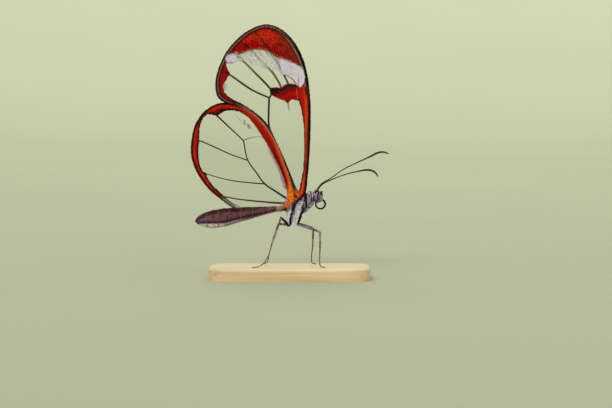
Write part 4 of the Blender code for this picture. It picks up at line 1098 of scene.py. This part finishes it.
def make_antennae():
    """Two ringed feelers with a club at the tip, each on a knob."""
    for tag, line in (("left", ANTENNA_LEFT), ("right", ANTENNA_RIGHT)):
        knob = ball(np.array(line[0]) + (0.0, 0.0, 0.02), (0.2, 0.18, 0.2), 16, 11)
        points, faces = join([limb(line, ANTENNA_RADII, 300, 10, ANTENNA_RINGS, 0.1), knob])
        tone = tint(even(points, "#4A3A14"), "#201608", ramp(mottle(points, 0.8, 41), -0.5, 0.5))
        add_piece(f"antenna_ringed_{tag}", points, faces, LEG_FINISH, "antenna", [f"antenna_{tag}"], tone)


def make_tongue():
    """The coiled tongue: a tube on an arc whose radius is scaled by 0.96 to 1, ringed all along."""
    count = 90
    angle, run = np.radians(np.linspace(*COIL_TURN, count)), np.linspace(0.0, 1.0, count)
    radius = COIL_RADIUS * (0.96 + 0.04 * run)
    coil = np.column_stack([COIL_CENTRE[0] + radius * np.cos(angle), 0.16 * (run - 0.5),
                            COIL_CENTRE[1] + radius * np.sin(angle)])
    thick = COIL_TUBE * np.interp(run, [0.0, 0.25, 1.0], [1.0, 0.95, 0.8]) * rounded(count, reach=0.02)
    thick = thick * (1.0 - 0.12 * np.cos(math.pi * (run * COIL_RINGS % 1.0)) ** 8)
    add_piece("tongue_coil", *tube(coil, thick, thick * 1.2, 12), TONGUE_FINISH, "tongue", ["proboscis"])


def make_palps():
    """Palps and the small folded forelegs, and the hairs on both."""
    draw = np.random.default_rng(FACE_SEED)
    hairs = []
    for row, (tag, side) in enumerate(SIDES.items()):
        palp = limb(mirrored(PALP_PATH, side), PALP_RADII, 40)
        add_piece(f"palp_skin_{tag}", *palp, LEG_FINISH, "head_scales", [f"palp_{tag}"],
                  tint(even(palp[0], "#8A7C90"), "#241A20", ramp(palp[0][:, 2], 10.9, 11.5)))
        arm = limb(mirrored(FORELEG_PATH, side), FORELEG_RADII, 50)
        add_piece(f"foreleg_skin_{tag}", *arm, LEG_FINISH, "coxa_scales", [f"foreleg_{tag}"],
                  even(arm[0], "#B8AFC0"))
        hairs += [(*seats(*palp, FACE_TUFTS, draw), (0.1, 0.0, 1.0), "palp", (0.0, 0.5 * row)),
                  (*seats(*arm, FACE_TUFTS, draw), (-0.5, 0.0, -0.6), "arm", (0.5, 0.5 * row))]
    columns = []
    for root, normal, flow, part, tile in hairs:
        along, up = lie(normal, unit(np.array(flow) + draw.normal(0.0, 0.15, root.shape)), 0.35)
        if part == "palp":
            dark = ramp(root[:, 2] + 0.3 * mottle(root, 0.5, 51), 10.9, 11.3)
        else:
            dark = ramp(mottle(root, 0.5, 52), 0.2, 0.7)
        tone = tint(even(root, "#D8D0E0"), "#2A1E24", dark) * draw.uniform(0.75, 1.2, len(root))[:, None]
        x, y, z = root.T
        place = unwrap(root, 2, (x.mean(), y.mean()), z.min(), z.max(), tile)
        size = draw.uniform(0.18, 0.3, len(root))
        columns.append((root, along, up, size, np.full(len(root), 0.06), tone, place))
    add_coat("face_coat", "head_scales", *leaf_shape(HAIR, 0.03), *stack(columns))


def leg_tone(p, part, leg):
    """Femora grey-lilac, the near hind one black-olive; tibiae grey-mauve, redder down to the brown feet."""
    light, dark = DARK_FEMUR if (part, leg) == ("femur", "hind_right") else LEG_COLOURS[part]
    tone = tint(even(p, light), dark, ramp(mottle(p, 0.6, 61), -0.3, 0.6))
    return tint(tone, "#8A4430", (part == "tibia") * fall(p[:, 2], 1.5, 4.0) * 0.8)


def make_legs():
    """The four walking legs: femur, tibia, a foot of five joints and two claws, with a coat of scales."""
    draw = np.random.default_rng(LEG_SEED)
    columns = []
    for index, (leg, (hip, knee, ankle, foot)) in enumerate(LEGS.items()):
        hip, knee, ankle, before, last = (np.array(point) for point in (hip, knee, ankle, *foot[-2:]))
        reach = unit(last - before)
        parts = {"femur": limb([hip, 0.5 * (hip + knee) + (0.0, 0.0, 0.08), knee], FEMUR_RADII, 40),
                 "tibia": limb([knee, 0.5 * (knee + ankle), ankle], TIBIA_RADII, 36),
                 "tarsus": limb([ankle, *foot], TARSUS_RADII, 70, 12, 5, 0.25)}
        tones = [leg_tone(points, part, leg) for part, (points, _) in parts.items()]
        for part, start, end in (("femur", hip, knee), ("tibia", knee, ankle)):
            root, normal = seats(*parts[part], LEG_TUFTS[part], draw)
            along, up = lie(normal, unit(unit(end - start) + draw.normal(0.0, 0.1, root.shape)), 0.1)
            tone = leg_tone(root, part, leg) * draw.uniform(0.7, 1.3, len(root))[:, None]
            run = ((root - start) @ (end - start)) / ((end - start) @ (end - start))
            place = np.column_stack([0.25 * index + TILE_MARGIN + 0.2 * np.clip(run, 0, 1),
                                     0.5 * (part == "tibia") + TILE_MARGIN + 0.44 * draw.random(len(root))])
            size = draw.uniform(0.16, 0.24, len(root))
            columns.append((root, along, up, size, np.full(len(root), 0.1), tone, place))
        claws = [limb([last - 0.05 * reach, last + 0.14 * reach + (0.0, 0.07 * hand, 0.02),
                       last + 0.2 * reach + (0.0, 0.1 * hand, -0.05)], CLAW_RADII, 10, 8)
                 for hand in (-1.0, 1.0)]
        tones += [even(points, "#1C0E0A") for points, _ in claws]
        points, faces = join([*parts.values(), *claws])
        add_piece(f"leg_{leg}", points, faces, LEG_FINISH, "leg_cuticle", [f"{part}_{leg}" for part in parts],
                  np.vstack(tones))
    add_coat("leg_coat", "femur_scales", *leaf_shape(PLATE, 0.02), *stack(columns))


def make_stage():
    """A pale floor that lies flat and then rises in a wide bowl: rise ((r - flat) / rise)^2 past the flat."""
    r = np.concatenate([np.linspace(0.02, FLOOR_FLAT, 30), np.linspace(FLOOR_FLAT + 0.05, FLOOR_EDGE, 40)])
    a = np.linspace(0.0, 2.0 * math.pi, FLOOR_SIDES, endpoint=False)
    height = FLOOR_RISE * (np.clip(r - FLOOR_FLAT, 0.0, None) / FLOOR_RISE) ** 2
    points = np.stack([r[:, None] * np.cos(a), r[:, None] * np.sin(a), height[:, None] * np.ones(FLOOR_SIDES)],
                      axis=-1)
    points = np.vstack([points.reshape(-1, 3), [(0.0, 0.0, 0.0)]])
    k = np.arange(FLOOR_SIDES)
    n = (k + 1) % FLOOR_SIDES
    row = np.arange(len(r) - 1)[:, None] * FLOOR_SIDES
    quads = np.stack([row + k, row + FLOOR_SIDES + k, row + FLOOR_SIDES + n, row + n], axis=-1).reshape(-1, 4)
    fan = np.column_stack([np.full(FLOOR_SIDES, len(points) - 1), k, n])
    mesh = bpy.data.meshes.new("floor")
    mesh.from_pydata(points.tolist(), [], quads.tolist() + fan.tolist())
    mesh.shade_smooth()
    floor = bpy.data.objects.new("floor", mesh)
    bpy.context.collection.objects.link(floor)
    # Backdrop paper: calendered and matt, with hardly a change of tone over 300 mm
    mesh.materials.append(finish_of("studio_paper", "#AAAE92", "#AFB397", 300.0, 0.85))


def look_at(thing, place, target):
    """Places a lamp or camera and turns its -Z to the target."""
    thing.location = place
    way = np.array(target) - np.array(place)
    flat = math.hypot(way[0], way[1])
    thing.rotation_euler = (math.atan2(flat, -way[2]), 0.0, math.atan2(-way[0], way[1]))


def make_light():
    """Plain soft studio light: a broad key from the upper left, a wide fill, one behind, and a pale sky."""
    world = bpy.data.worlds.new("studio")
    bpy.context.scene.world = world
    world.use_nodes = True
    sky = world.node_tree.nodes["Background"]
    sky.inputs["Color"].default_value = (*colour("#F2F4EA"), 1.0)
    sky.inputs["Strength"].default_value = SKY_STRENGTH
    for name, place, angle, power in LAMPS:
        lamp = bpy.data.lights.new(name, "SUN")
        lamp.angle = math.radians(angle)
        lamp.energy = power
        light = bpy.data.objects.new(name, lamp)
        bpy.context.collection.objects.link(light)
        look_at(light, place, LAMP_TARGET)


def make_camera():
    """The photograph's view: 99 mm wide at the butterfly, level with it and a little above, along +Y."""
    target, lift = np.array(VIEW_TARGET) * MM, math.radians(VIEW_LIFT)
    away = VIEW_WIDTH * MM * CAMERA_LENS / CAMERA_SENSOR
    camera = bpy.data.cameras.new("camera")
    camera.lens, camera.sensor_width = CAMERA_LENS, CAMERA_SENSOR
    camera.clip_start, camera.clip_end = 0.01, 20.0
    holder = bpy.data.objects.new("camera", camera)
    bpy.context.collection.objects.link(holder)
    look_at(holder, tuple(target + away * np.array((0.0, -math.cos(lift), math.sin(lift)))), tuple(target))
    bpy.context.scene.camera = holder


make_camera()
make_wings()
make_body()
make_eyes()
make_antennae()
make_tongue()
make_palps()
make_legs()
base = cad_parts["stand_base"]
base.data.materials.clear()
base.data.materials.append(MAPLE_FINISH)
make_stage()
make_light()
bpy.context.scene.view_settings.view_transform = "Standard"
# A line of sight can pass the eight see-through faces of the four wings more than once, where they curve
bpy.context.scene.cycles.transparent_max_bounces = 48
